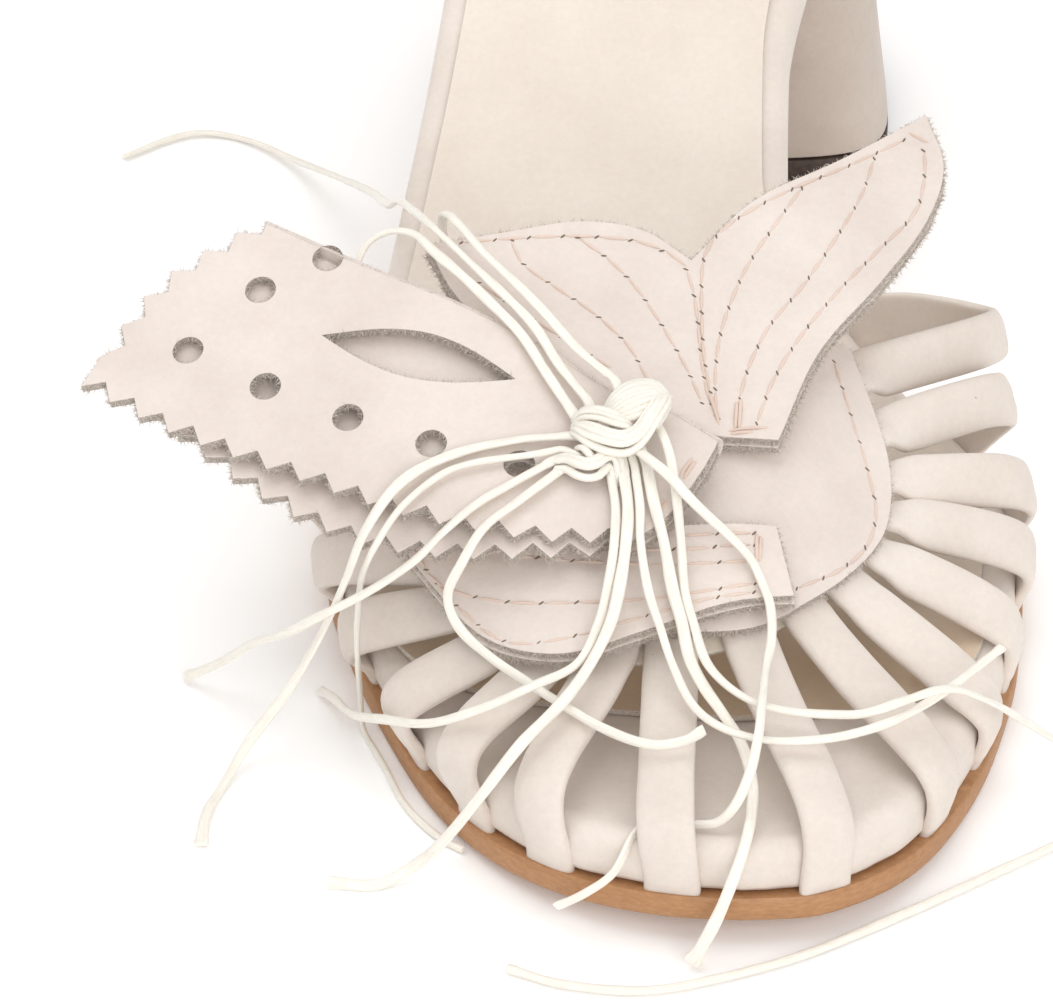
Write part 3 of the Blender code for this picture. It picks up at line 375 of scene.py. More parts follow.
# The cord's UV map runs in millimetres along and in parts of the way round.
waxed = grained("waxed_flat_cord", 0.42, ((0.3, "#E8E1D4"), (0.62, "#F5F1E8")), 1.0, detail=4, uneven=0.7, bump=0.6,
                deep=0.15, stretch=(0.35, 14, 1), uv=True, Specular_IOR_Level=0.35, Sheen_Weight=0.2,
                Subsurface_Weight=0.08, Subsurface_Radius=(0.002, 0.0015, 0.001), Subsurface_Scale=0.4)
thread = calf_leather("peach_thread", "#E2CDC0", "#D3BCAE", pore=0.2, bump=0.3, specks=False)
shade = new_finish("needle_hole_shade", 0.9, Base_Color=linear("#7C6856"))[0]

# %% [markdown]
# ## Cords
#
# The cords come before the shoe, because they decide how much room the object takes.  Each has a route of listed
# points: out of the knot, over the leather, and down to the floor.  A mesh ribbon follows a smooth curve through
# them.  It is flat, turns slowly about itself as waxed cord does, and is splayed at its cut end.

# %% Cord routes
CORD_ROUTES = {
    "cord_back": (
        (-11.8, -17.5, 43.3), (-15, -12.5, 44.8), (-18, -6.5, 46.5), (-21.5, -2, 48), (-25.5, 2.5, 49.6),
        (-29, 7, 50.7), (-32, 13, 50), (-34.2, 25, 44.3), (-36.2, 41, 35.5), (-37.9, 57, 24.8), (-41, 74, 16.3),
        (-46, 91, 8), (-52, 104, 2.5), (-60, 113, 0.7), (-68, 115, 0.7), (-78, 108.5, 0.7)),
    "cord_wrap": (
        (-13.7, -19, 42.7), (-16.7, -13.3, 44.3), (-19.8, -7.3, 46), (-23.4, -2.8, 47.5), (-27.3, 1.8, 48.9),
        (-30.8, 6.2, 49.6), (-33.5, 10.5, 49.6), (-36.5, 12.3, 48.9), (-39.5, 12, 47.2), (-41, 9.5, 44.5),
        (-40.5, 4, 41), (-39.5, -3, 37.5), (-39, -10, 32.5)),
    "cord_lobe": (
        (-8.5, -15.8, 45.2), (-12.6, -10.7, 45.9), (-16.8, -4.5, 47.4), (-20.3, -0.2, 48.9), (-24.2, 4.2, 50.4),
        (-27.4, 9.3, 51.4), (-29.4, 14, 50.5), (-30, 17, 47), (-29.5, 16.5, 43.5), (-27.5, 13, 42.5)),
    "cord_far_left": (
        (-14.6, -22.3, 40.7), (-20.5, -22.5, 40.2), (-28, -24, 39.2), (-34.5, -28.5, 38.2), (-38.9, -34, 34.8),
        (-41.5, -35.2, 28), (-44.5, -35, 20), (-49, -35.3, 11), (-54, -36, 3.5), (-57, -41, 0.7), (-59, -47, 0.7),
        (-59.5, -53.5, 0.7)),
    "cord_side_left": (
        (-15.4, -24.6, 40.2), (-18.7, -25, 39.7), (-22, -25.3, 39.4), (-25.5, -25.8, 39.1), (-28.6, -26.7, 38.6),
        (-31.4, -28.6, 37.8), (-34.6, -31.8, 36.5), (-36.9, -34.8, 34.6), (-38.6, -35.6, 31.5), (-39.7, -34, 26.8),
        (-40.2, -32, 20.5), (-40.4, -30.5, 15.3), (-40.4, -29.5, 10), (-40.2, -28.8, 4.5), (-39.9, -30, 1),
        (-38.2, -34.5, 0.7), (-36.6, -38.8, 0.7), (-34.8, -44.3, 0.7), (-32.4, -48.8, 0.7), (-29.6, -52.4, 0.7),
        (-27, -54.6, 0.7)),
    "cord_near_left": (
        (-16.3, -26, 39.2), (-20.5, -28.5, 38.1), (-25, -31.3, 36.9), (-29, -34.8, 35.3), (-33, -37.2, 32.2),
        (-38.5, -37.6, 28), (-45.2, -36.4, 23), (-49.5, -33, 18), (-53.5, -28, 13), (-58.5, -23, 6),
        (-63, -19, 0.8)),
    "cord_loop": (
        (-15.2, -27.5, 38.9), (-20.4, -31.8, 37.2), (-24.4, -35.4, 35.9), (-27.2, -38.6, 32.6), (-28.8, -39.8, 28.8),
        (-27.4, -42, 25.6), (-23.5, -45.2, 23.4), (-19.5, -48.4, 22.4), (-14.5, -53, 21.8), (-9, -58, 21.7),
        (-4, -61, 22), (0, -60.8, 22.4), (2.4, -59.4, 23)),
    "cord_front_left": (
        (-7.1, -27.6, 39), (-6.6, -32.5, 37.3), (-6.8, -37, 35.7), (-7.6, -41.5, 32), (-8.8, -45.5, 28.9),
        (-11.3, -49.5, 25.6), (-14.5, -53.8, 23.3), (-19.7, -59.5, 21), (-25, -63.5, 15.5), (-29.5, -62.5, 8),
        (-33.5, -60, 2), (-37.5, -61.5, 0.7), (-43.5, -61, 0.7)),
    "cord_fork": (
        (-8.6, -28.3, 38.6), (-8.1, -33, 36.9), (-8.4, -38.2, 34.8), (-9.3, -41.8, 30.8), (-10.4, -45, 28),
        (-13, -49, 25.2), (-18.2, -52, 24.2), (-24.2, -53, 21.6), (-30.8, -50.5, 17.3), (-36.8, -43, 12.2),
        (-41, -34.5, 6.6), (-43.8, -26.5, 3.2), (-45.6, -21.8, 0.8)),
    "cord_right_rest": (
        (-5.6, -27.6, 39), (-5.1, -32.5, 37.2), (-5.1, -37, 35.3), (-4.2, -41.8, 31.3), (-2.7, -46, 28.4),
        (-1.2, -50, 25.6), (1.2, -54.8, 23.2), (4.6, -58, 22.3), (9.6, -60, 22), (14.6, -60.2, 22),
        (20, -58.8, 21.8), (26, -54.5, 20.9), (32, -48.5, 20.4), (36.5, -43, 20.2), (40, -38.5, 20)),
    "cord_right_floor": (
        (-3, -21.9, 42.4), (-1.9, -25, 41.8), (-1.3, -27.1, 40.8), (-0.7, -31, 38.6), (-0.1, -34.7, 34.1),
        (0.4, -41, 30.2), (1.5, -44.8, 27.8), (2.7, -49, 26), (4.4, -51.6, 25), (7, -54, 24.2), (10, -55.4, 23.6),
        (13.5, -56, 23.2), (17.5, -56, 22.8), (22, -55.3, 22.4), (27, -53, 22.6), (32.5, -49.5, 21.8),
        (38, -45, 16.5), (43, -41, 10.5), (47.5, -37, 4.5), (51.5, -35, 1.2), (55.5, -36, 0.7), (57, -41, 0.7),
        (54, -47.5, 0.7), (48, -52.5, 0.7), (37, -60.3, 0.7), (26.5, -67.5, 0.7), (14.5, -75, 0.7), (4, -79.5, 0.7),
        (-5, -81.8, 0.7), (-15, -80.5, 0.7),
        (-21.5, -77.5, 0.7)),
    "cord_toe": (
        (-4.1, -27.2, 39.2), (-3.4, -32, 37.6), (-2.2, -36.4, 34.6), (-1.2, -41, 30.9), (-0.1, -44.6, 28.4),
        (0.9, -48.4, 25.5), (2.6, -51.6, 23.6), (4.8, -54.2, 21.6), (7, -57.4, 19.5), (8.3, -62, 17),
        (8.1, -66, 15.6), (7.5, -69.8, 14.9), (6.3, -72.8, 12.4), (3.9, -75.6, 7), (1.6, -76.8, 2.4),
        (0.8, -77.2, 1.1)),
    "cord_under_strap": (
        (-5.6, -25.6, 41.1), (-3.6, -28.8, 41.4), (-1.4, -31.4, 40.9), (0.7, -32.8, 39), (3.5, -33.7, 36.3),
        (6, -34.2, 33.9), (8.6, -36.4, 31.9), (10, -38.6, 29.8), (10.8, -40.4, 28.4), (11.1, -42.6, 26.6),
        (10.9, -45.2, 25.2), (10.2, -49, 24.8), (9.8, -53.4, 25.3), (9.4, -57.6, 25.3), (8.9, -61.8, 24),
        (7.7, -65.2, 20.4), (5.9, -67.2, 17.2), (3.9, -67.6, 15.2), (1.5, -67.2, 14.6), (-2, -66.8, 14.4),
        (-5.5, -67.4, 14.1), (-8.5, -70.6, 10), (-12, -71, 7), (-15.5, -70.5, 4.5)),
}


def smooth_route(route):
    return spline([Vector(p) * MM for p in route], 12)


# %% The cord ribbon
RIBBON_SIDES = 12
CORD_STEP, STRAND_STEP = 0.7 * MM, 0.6 * MM
TWIST, TWIST_EVERY = 0.9, 17
WIDTH_CHANGE, WIDTH_EVERY = 0.16, 5
THICK_CHANGE, THICK_EVERY = 0.2, 3.5
SPLAY_LENGTH, END_WIDTH, END_THICK = 2.2, 0.9, 0.75
GROOVES, GROOVE_DEPTH, GROOVE_TURN, SECTION_POWER = 3, 0.10, 9, 0.8


def ribbon(points, width, thickness, key, splay=0.0):
    """Vertices, faces and UVs of a flat tube along the points, closed at both ends."""
    verts, uvs = [], []
    up = Vector((0, 0, 1))
    length = run_lengths(points)
    last = len(points) - 1
    for k, point in enumerate(points):
        along = (points[min(k + 1, last)] - points[max(k - 1, 0)]).normalized()
        up = (up - along * up.dot(along)).normalized()
        side = along.cross(up)
        at, left = length[k] / MM, (length[-1] - length[k]) / MM
        turn = TWIST * wander(key, at / TWIST_EVERY)
        spread_out = 1 + splay * smooth_step(1 - left / SPLAY_LENGTH)
        half_w = width / 2 * (1 + WIDTH_CHANGE * wander(key + 9, at / WIDTH_EVERY)) * spread_out
        half_t = thickness / 2 * (1 + THICK_CHANGE * wander(key + 5, at / THICK_EVERY))
        if k in (0, last):
            half_w, half_t = half_w * END_WIDTH, half_t * END_THICK
        for j in range(RIBBON_SIDES):
            angle = 2 * math.pi * j / RIBBON_SIDES
            c, s = math.cos(angle), math.sin(angle)
            groove = 1 - GROOVE_DEPTH * math.cos(GROOVES * angle + at / GROOVE_TURN)
            a = half_w * c
            b = half_t * math.copysign(abs(s) ** SECTION_POWER, s) * groove
            verts.append(point + (side * (a * math.cos(turn) - b * math.sin(turn))
                                  + up * (a * math.sin(turn) + b * math.cos(turn))))
    for k in range(last):
        u0, u1 = length[k] / MM, length[k + 1] / MM
        for j in range(RIBBON_SIDES):
            v0, v1 = j / RIBBON_SIDES, (j + 1) / RIBBON_SIDES
            uvs.append(((u0, v0), (u0, v1), (u1, v1), (u1, v0)))
    ends = [tuple(range(RIBBON_SIDES - 1, -1, -1)), tuple(last * RIBBON_SIDES + j for j in range(RIBBON_SIDES))]
    uvs += [tuple((0.0, 0.0) for _ in range(RIBBON_SIDES))] * 2
    return verts, tube_faces(len(points), RIBBON_SIDES) + ends, uvs


def ribbon_piece(name, parts, finish):
    """One mesh from several ribbons, with the UV map 'along'."""
    verts, faces, uvs = joined(parts)
    piece = mesh_piece(name, verts, faces, [finish], sharp=70)
    layer = piece.data.uv_layers.new(name="along")
    layer.data.foreach_set("uv", [c for face in uvs for corner in face for c in corner])
    return piece


# %% The thirteen cords
CORD_WIDTHS = {"cord_far_left": 1.5, "cord_toe": 1.5, "cord_front_left": 1.5, "cord_side_left": 0.9,
               "cord_right_floor": 1.25, "cord_right_rest": 1.15, "cord_fork": 1.2}
CORD_WIDTH, CORD_THICK = 1.35, 0.75
SPLAYED = {"cord_toe": 0.7}
for key, (name, route) in enumerate(CORD_ROUTES.items()):
    line = even_points(smooth_route(route), CORD_STEP)
    width = CORD_WIDTHS.get(name, CORD_WIDTH) * MM
    made = ribbon(line, width, CORD_THICK * MM, key + 1, SPLAYED.get(name, 0.3))
    piece = own(ribbon_piece(name + "_ribbon", [made], waxed), "waxed_cord", name)

# %% [markdown]
# ## The last's shape
#
# The sole's outline and its height along the foot, the crest of the forefoot and the straps' places are short
# tables.  Everything that touches the sole reads them.

# %% Sole tables
TOE_Y, HEEL_Y = -72.6 * MM, 160.0 * MM
TOE_TIP_X, HEEL_TIP_X = 7.0 * MM, 1.0 * MM
OUTSOLE_THICK, FOOTBED_THICK, SOCK_THICK, LIFT_THICK = 3.5 * MM, 7.0 * MM, 0.8 * MM, 3.8 * MM
FOOTBED_INSET, WAIST_TUCK, FOOTBED_RIM, SOCK_INSET = 1.9 * MM, 4.0 * MM, 3.0 * MM, 3.6 * MM
BREAST_Y, BREAST_GAP = 102.0 * MM, 1.2 * MM
CURVE_POINTS = 600
OUTLINE_COLUMNS = ("y", "medial", "lateral")
OUTLINE = (
    (-72, 14.5, 0), (-68.4, 21.6, -11.2), (-62, 28.2, -20.2), (-50, 35, -29.2), (-35, 40.4, -35.8),
    (-18, 44.2, -41.4), (0, 45.8, -45.2), (15, 42.6, -45.6), (30, 34.2, -43.8), (45, 24.8, -41.2), (62, 18.8, -37.8),
    (78, 19.2, -34.4), (95, 23.6, -31.4), (112, 28.6, -29.8), (130, 30.4, -28.6), (143, 27.6, -25.8),
    (151.5, 21.6, -19.6), (157.6, 12.2, -10.2),
)
PROFILE_COLUMNS = ("y", "z")
PROFILE = (
    (-72, 3.6), (-56, 1.3), (-38, 0), (6, 0), (20, 0.9), (35, 3.6), (50, 8.6), (65, 16.2), (80, 25.6), (95, 35.8),
    (110, 45.2), (128, 53), (144, 56.4), (160, 57.6),
)
SOCK_FRONT = (
    (-41.6, 14.5, 0.5), (-40, 23, -11.5), (-36.5, 32, -25), (-31, 36.8, -32.4), (-24, 39.2, -36.6),
    (-14, 41.2, -39.4),
)
SOCK_TIP_Y = -42.0 * MM


def sole_z(y):
    return float(monotone(column(PROFILE, PROFILE_COLUMNS, "y"), column(PROFILE, PROFILE_COLUMNS, "z"),
                          np.clip(y, TOE_Y, HEEL_Y)))


def plan_lengths(points):
    return np.concatenate([[0], np.cumsum(np.hypot(*np.diff(points, axis=0).T))])


def smooth_side(tip, rows, names, side, end):
    points = np.array([tip] + list(zip(column(rows, names, side), column(rows, names, "y"))) + [end])
    length = plan_lengths(points)
    at = np.linspace(0, length[-1], CURVE_POINTS)
    return np.stack([monotone(length, points[:, 0], at), monotone(length, points[:, 1], at)], axis=1)


def inset_side(curve, side, inset):
    tangent = np.gradient(curve, axis=0)
    tangent /= np.hypot(*tangent.T)[:, None]
    turn = -1.0 if side == "medial" else 1.0
    normal = np.stack([tangent[:, 1], -tangent[:, 0]], axis=1) * turn
    inset = np.asarray(inset, float)
    return curve + normal * (inset[:, None] if inset.ndim else inset)


def side_curve(side):
    return smooth_side((TOE_TIP_X, TOE_Y), OUTLINE, OUTLINE_COLUMNS, side, (HEEL_TIP_X, HEEL_Y))


# %% [markdown]
# ## Sole
#
# Each layer is a stack of rings round the same outline, moved inwards step by step, so that the padded rim rolls
# over evenly.  The flat top is filled with a Delaunay mesh, fine enough to carry soft wrinkles.

# %% Filling and stacking
ROW_PITCH, RIM_CLEARANCE, SAME_POINT = 0.866, 0.55, 1e-7


def fill(outer, holes, spacing):
    """Triangles over a plan outline with holes: the loops' points first, then a grid of inner points."""
    loops = [outer] + list(holes)
    points = [tuple(p[:2]) for loop in loops for p in loop]
    edges, start = [], 0
    for loop in loops:
        edges += [(start + k, start + (k + 1) % len(loop)) for k in range(len(loop))]
        start += len(loop)
    rim = np.array(points)
    low, high = rim.min(axis=0), rim.max(axis=0)
    rows = np.arange(low[1] + spacing / 2, high[1], spacing * ROW_PITCH)
    grid = [(x, y) for j, y in enumerate(rows)
            for x in np.arange(low[0] + spacing * (0.5 if j % 2 else 1.0), high[0], spacing)]
    grid = np.array(grid) if grid else np.zeros((0, 2))
    far = [g for g in grid if np.hypot(*(rim - g).T).min() > RIM_CLEARANCE * spacing and inside(g, outer)
           and not any(inside(g, hole) for hole in holes)]
    points += [tuple(g) for g in far]
    made = delaunay_2d_cdt([Vector(p) for p in points], edges, [list(range(len(outer)))], 1, SAME_POINT)
    flat = [tuple(v) for v in made[0]]
    if len(flat) != len(points):
        print("  filling added", len(flat) - len(points), "points")
    tris = []
    for face in made[2]:
        middle = np.mean([flat[i] for i in face], axis=0)
        if not any(inside(middle, hole) for hole in holes):
            a, b, c = (flat[i] for i in face[:3])
            turn = (b[0] - a[0]) * (c[1] - a[1]) - (b[1] - a[1]) * (c[0] - a[0])
            tris.append(tuple(face) if turn > 0 else tuple(reversed(face)))
    return flat, tris


def inside(point, loop):
    """Whether a plan point lies in a closed loop, by counting crossings."""
    xs = np.array([p[0] for p in loop])
    ys = np.array([p[1] for p in loop])
    xe, ye = np.roll(xs, -1), np.roll(ys, -1)
    over = (ys > point[1]) != (ye > point[1])
    with np.errstate(divide="ignore", invalid="ignore"):
        cross = xs + (point[1] - ys) * (xe - xs) / (ye - ys)
    return bool(np.count_nonzero(over & (cross > point[0])) % 2)


def stack(name, rings, finish, cap_spacing, top_shape=None):
    """Closed solid from rings of equal count, each a list of 3D points; the last ring's cap is filled finely."""
    verts = [Vector(p) for ring in rings for p in ring]
    count = len(rings[0])
    faces = tube_faces(len(rings), count)
    for number, ring in ((0, rings[0]), (len(rings) - 1, rings[-1])):
        flat, tris = fill(ring, [], cap_spacing if number else cap_spacing * 3)
        index = [number * count + i for i in range(count)] + list(range(len(verts), len(verts) + len(flat) - count))
        for x, y in flat[count:]:
            level = sole_z(y) + ring[0][2] - sole_z(ring[0][1])
            verts.append(Vector((x, y, top_shape(x, y) if number and top_shape else level)))
        for tri in tris:
            corners = [index[i] for i in tri]
            faces.append(tuple(corners if number else reversed(corners)))
    return mesh_piece(name, verts, faces, [finish])


# %% Rings round the sole
SIDE_STATIONS = 170


def sole_ring(inset, height, cut_y=None, tuck=None):
    """Points of one ring, anticlockwise from the toe tip; height gives z from x and y."""
    pick = np.unique(np.round(np.linspace(0, CURVE_POINTS - 1, SIDE_STATIONS)).astype(int))[1:-1]
    ring = [(TOE_TIP_X, TOE_Y + inset)]
    sides = {}
    for side in ("medial", "lateral"):
        curve = side_curve(side)
        moved = inset_side(curve, side, inset + (tuck(curve[:, 1]) if tuck else 0.0))
        chosen = moved[pick]
        if cut_y is not None:
            chosen = [p for p, whole in zip(chosen, curve[pick]) if whole[1] < cut_y - MM]
            chosen.append((float(np.interp(cut_y, moved[:, 1], moved[:, 0])), cut_y))
        sides[side] = [tuple(p) for p in chosen]
    ring += sides["medial"]
    if cut_y is None:
        ring.append((HEEL_TIP_X, HEEL_Y - inset))
    ring += sides["lateral"][::-1]
    return [(x, y, height(x, y)) for x, y in ring]


def over_sole(offset):
    return lambda x, y: sole_z(y) + offset


# %% Outsole
TUCK_AT, TUCK_BY = (TOE_Y, 12 * MM, 34 * MM, 120 * MM), (0, 0, WAIST_TUCK, WAIST_TUCK)


def outsole_tuck(y):
    return monotone(TUCK_AT, TUCK_BY, np.clip(y, TUCK_AT[0], TUCK_AT[-1]))


OUTSOLE_EDGE = ((0.7 * MM, 0.0), (0.2 * MM, 0.25 * MM), (0.0, 0.8 * MM), (0.0, OUTSOLE_THICK - 0.35 * MM),
                (0.3 * MM, OUTSOLE_THICK))
outsole_rings = [sole_ring(inset, over_sole(offset), BREAST_Y - BREAST_GAP, outsole_tuck)
                 for inset, offset in OUTSOLE_EDGE]
outsole = own(stack("bend_leather_outsole", outsole_rings, tan_sole, 6 * MM), "sole_leather", "outsole")
tell("outsole", outsole)

# %% [markdown]
# ## Footbed
#
# A board and foam wrapped in the upper's leather.  Where the leather is pulled round the toe it gathers into soft
# folds, which run down the wall.  They are listed as troughs, each with its place along the rim, width
# and depth.

# %% Footbed with its gathered toe
FOLD_COLUMNS = ("x", "width", "depth", "lean")
TOE_FOLDS = (
    (-27, 1.6, 0.35, 0.10), (-21.5, 2.2, 0.30, -0.10), (-14, 1.4, 0.38, 0.18), (-6.5, 2.4, 0.28, 0.05),
    (-0.5, 1.5, 0.42, -0.15), (5, 1.8, 0.35, 0.12), (11.5, 1.3, 0.30, -0.06), (16.5, 2.2, 0.45, 0.16),
    (23, 1.5, 0.32, -0.12), (29, 2, 0.30, 0.08),
)
BULGE, BULGE_END, BULGE_FADE, BALL_Y = 0.8 * MM, 30 * MM, 12 * MM, -40 * MM
FOLDS_END, FOLDS_FADE, FOLDS_LEAN_AT = -46 * MM, 14 * MM, -60
PAD_WAVE, PAD_SIZE, PAD_END, PAD_FADE = 0.35 * MM, 17, -30 * MM, 20 * MM
FOOTBED_BASE = OUTSOLE_THICK + GAP
FOOTBED_TOP = FOOTBED_BASE + FOOTBED_THICK


def toe_fold(x, y):
    """Depth of the gathers at a place near the toe, fading out over the flat top."""
    reach = smooth_step((FOLDS_END - y) / FOLDS_FADE)
    total = 0.0
    for row in TOE_FOLDS:
        fold = dict(zip(FOLD_COLUMNS, row))
        middle = fold["x"] + fold["lean"] * (y / MM - FOLDS_LEAN_AT)
        total += fold["depth"] * math.exp(-((x / MM - middle) / fold["width"]) ** 2)
    return total * reach * MM


def footbed_top(x, y):
    pad = PAD_WAVE * noise.noise(Vector((x, y, 0.0)) * per(PAD_SIZE)) * smooth_step((PAD_END - y) / PAD_FADE)
    return sole_z(y) + FOOTBED_TOP + pad - toe_fold(x, y)


def footbed_ring(inset, offset, share):
    """One ring of the wall: the padding bulges out between the straps' feet, and the gathers pull it in."""
    ring = []
    for x, y, z in sole_ring(inset, over_sole(offset)):
        pull = toe_fold(x, y) * share - BULGE * smooth_step((BULGE_END - y) / BULGE_FADE)
        out = Vector((x - TOE_TIP_X, min(y - BALL_Y, 0), 0)).normalized()
        ring.append((x - out.x * pull, y - out.y * pull, z))
    return ring


WALL = ((2.0, 0.0, 0.0), (0.5, 0.3, 0.6), (0.0, 1.0, 1.0), (-0.1, 2.5, 1.0))
RIM_STEPS, CAP_INSET = 8, 4.2 * MM
footbed_rings = [footbed_ring(FOOTBED_INSET + inset * MM, FOOTBED_BASE + lift * MM, share)
                 for inset, lift, share in WALL]
for step in range(RIM_STEPS + 1):
    turn = math.radians(90 * step / RIM_STEPS)
    inset = FOOTBED_INSET + FOOTBED_RIM * (1 - math.cos(turn))
    lift = FOOTBED_TOP - FOOTBED_RIM * (1 - math.sin(turn))
    footbed_rings.append(footbed_ring(inset, lift, 1 - step / RIM_STEPS))
cap = footbed_ring(FOOTBED_INSET + CAP_INSET, 0.0, 0.0)
footbed_rings.append([(x, y, footbed_top(x, y)) for x, y, z in cap])
footbed = own(stack("wrapped_footbed", footbed_rings, bone_calf, 1.8 * MM, footbed_top), "pale_leather", "footbed")
tell("footbed", footbed)

# %% [markdown]
# ## Sheets of leather
#
# The sock, the vamp patch, the fins and the wing are flat sheets that lie on a curved surface.  One function
# fills a plan outline with small triangles, lifts them onto the surface, adds the wall along the surface's own
# normal, and gives the cut edge the raw finish.

# %% A sheet on a surface
SLOPE_SPAN, SOFT_EDGE = 0.4 * MM, 0.14 * MM


def normal_at(height, x, y):
    return Vector((height(x - SLOPE_SPAN, y) - height(x + SLOPE_SPAN, y),
                   height(x, y - SLOPE_SPAN) - height(x, y + SLOPE_SPAN), 2 * SLOPE_SPAN)).normalized()


def leather_sheet(name, outline, holes, height, thickness, finishes, spacing, relief=None):
    """Top and bottom faces on finish 0, the cut edge on finish 1."""
    flat, tris = fill(outline, holes, spacing)
    tops, bottoms = [], []
    for x, y in flat:
        normal, spot = normal_at(height, x, y), Vector((x, y, height(x, y)))
        tops.append(spot + normal * (relief(x, y) if relief else 0.0))
        bottoms.append(spot - normal * thickness)
    count = len(flat)
    faces = tris + [tuple(count + i for i in reversed(tri)) for tri in tris]
    finish_of = [0] * len(faces)
    start = 0
    for loop in [outline] + list(holes):
        for k in range(len(loop)):
            a, b = start + k, start + (k + 1) % len(loop)
            faces.append((a, count + a, count + b, b) if loop is outline else (b, count + b, count + a, a))
            finish_of.append(1)
        start += len(loop)
    piece = mesh_piece(name, tops + bottoms, faces, finishes, finish_of, sharp=45)
    return rounded_edges(facing_out(piece), SOFT_EDGE)


def smooth_line(rows, per_span, closed=False):
    """A plan curve through rows of x and y; a third value marks a corner."""
    corners = [k for k, row in enumerate(rows) if len(row) > 2]
    return spline([Vector((row[0], row[1], 0)) * MM for row in rows], per_span, corners, closed)


# %% Sock
def sock_edge(side):
    """The sock's plan edge on one side: the toe arc, then a fixed distance inside the outline."""
    whole = inset_side(side_curve(side), side, FOOTBED_INSET + SOCK_INSET)
    join = (float(np.interp(0.0, whole[:, 1], whole[:, 0])), 0.0)
    front = smooth_side((TOE_TIP_X, SOCK_TIP_Y), SOCK_FRONT, OUTLINE_COLUMNS, side, join)
    front = front[front[:, 1] < SOCK_FRONT[-1][0] * MM]
    return np.vstack([front[::9], whole[whole[:, 1] > SOCK_FRONT[-1][0] * MM][::4]])


def sock_top(x, y):
    return sole_z(y) + FOOTBED_TOP + GAP + SOCK_THICK


sock_outline = [Vector((x, y, 0)) for x, y in sock_edge("medial")]
sock_outline += [Vector((HEEL_TIP_X, HEEL_Y - FOOTBED_INSET - SOCK_INSET, 0))]
sock_outline += [Vector((x, y, 0)) for x, y in sock_edge("lateral")[::-1][:-1]]
sock = own(leather_sheet("leather_sock", sock_outline, [], sock_top, SOCK_THICK, [sock_calf, pale_edge], 3.0 * MM),
           "sock_leather", "sock")
tell("sock", sock)

# %% [markdown]
# ## Block heel and top lift
#
# The heel is a covered block: a flat breast with round corners, flaring to the floor.  Sections at five heights
# are joined by a smooth curve, and its top follows the sole.

# %% Heel and lift
HEEL_COLUMNS = ("height", "half_width", "centre_x", "front", "back")
HEEL_SECTIONS = (
    (0, 32, 2, 102, 155), (0.18, 31, 1.8, 102, 154.6), (0.5, 29.6, 1.4, 102.2, 154.8), (0.8, 28.6, 1.1, 102.6, 155.6),
    (1, 28.2, 1, 103, 156.2),
)
HEEL_RING, HEEL_WIDEST, BREAST_POWER, BACK_POWER = 120, 0.4, 5.0, 2.3


def heel_ring(at, grow=0.0):
    """Plan section of the heel at a share of its height."""
    heights = [row[0] for row in HEEL_SECTIONS]
    half, middle, front, back = (float(monotone(heights, column(HEEL_SECTIONS, HEEL_COLUMNS, name), at))
                                 for name in HEEL_COLUMNS[1:])
    half, front, back = half + grow, front - grow, back + grow
    points = []
    for i in range(HEEL_RING):
        turn = 2 * math.pi * i / HEEL_RING - math.pi / 2
        c, s = math.cos(turn), math.sin(turn)
        power = BREAST_POWER if s < 0 else BACK_POWER
        reach = (HEEL_WIDEST if s < 0 else 1 - HEEL_WIDEST) * (back - front)
        points.append((middle + half * math.copysign(abs(c) ** (2 / power), c),
                       front + HEEL_WIDEST * (back - front) + reach * math.copysign(abs(s) ** (2 / power), s)))
    return points


def heel_stack(name, layers, finish):
    """A closed block from layers of (share, grow, height function)."""
    verts = [Vector((x, y, height(x, y))) for share, grow, height in layers for x, y in heel_ring(share, grow)]
    faces = tube_faces(len(layers), HEEL_RING)
    top = (len(layers) - 1) * HEEL_RING
    for base, turned in ((0, True), (top, False)):
        for i in range(HEEL_RING // 2):
            a, b = base + i, base + i + 1
            c, d = base + (HEEL_RING - i - 1) % HEEL_RING, base + (HEEL_RING - i) % HEEL_RING
            corners = list(dict.fromkeys((a, b, c, d)))
            if len(corners) > 2:
                faces.append(tuple(reversed(corners)) if turned else tuple(corners))
    return mesh_piece(name, verts, faces, [finish])


def heel_level(share):
    floor = LIFT_THICK + GAP
    return lambda x, y: floor + (sole_z(y) + OUTSOLE_THICK - GAP - floor) * share


HEEL_STEPS, FIRST_SHARE = 24, 0.012
shares = [FIRST_SHARE] + [k / HEEL_STEPS for k in range(1, HEEL_STEPS + 1)]
layers = [(0.0, -0.7 * MM, heel_level(0.0)), (0.0, -0.15 * MM, heel_level(0.004))]
layers += [(share, 0.0, heel_level(share)) for share in shares]
# The heel's darker leather is painted shade.
heel = own(heel_stack("covered_heel", layers, shaded_heel_calf), "pale_leather", "heel_block")
LIFT_EDGE = ((-0.9 * MM, 0.0), (-0.25 * MM, 0.2 * MM), (0.0, 0.8 * MM), (0.0, LIFT_THICK - 0.2 * MM),
             (-0.2 * MM, LIFT_THICK))
lift = own(heel_stack("heel_lift", [(0.0, grow, (lambda x, y, z=z: z)) for grow, z in LIFT_EDGE], rubber),
           "lift_rubber", "top_lift")
tell("heel and lift", heel, lift)

# %% [markdown]
# ## The strap cage
#
# Seventeen strips of leather, each folded double to 7 mm wide, fan out from the hub under the patch, bulge over
# the foot and dive down outside the footbed.  Each is lofted from a rounded section along a smooth path: along
# the dome at the hub, out to its widest point, then straight down to its foot.

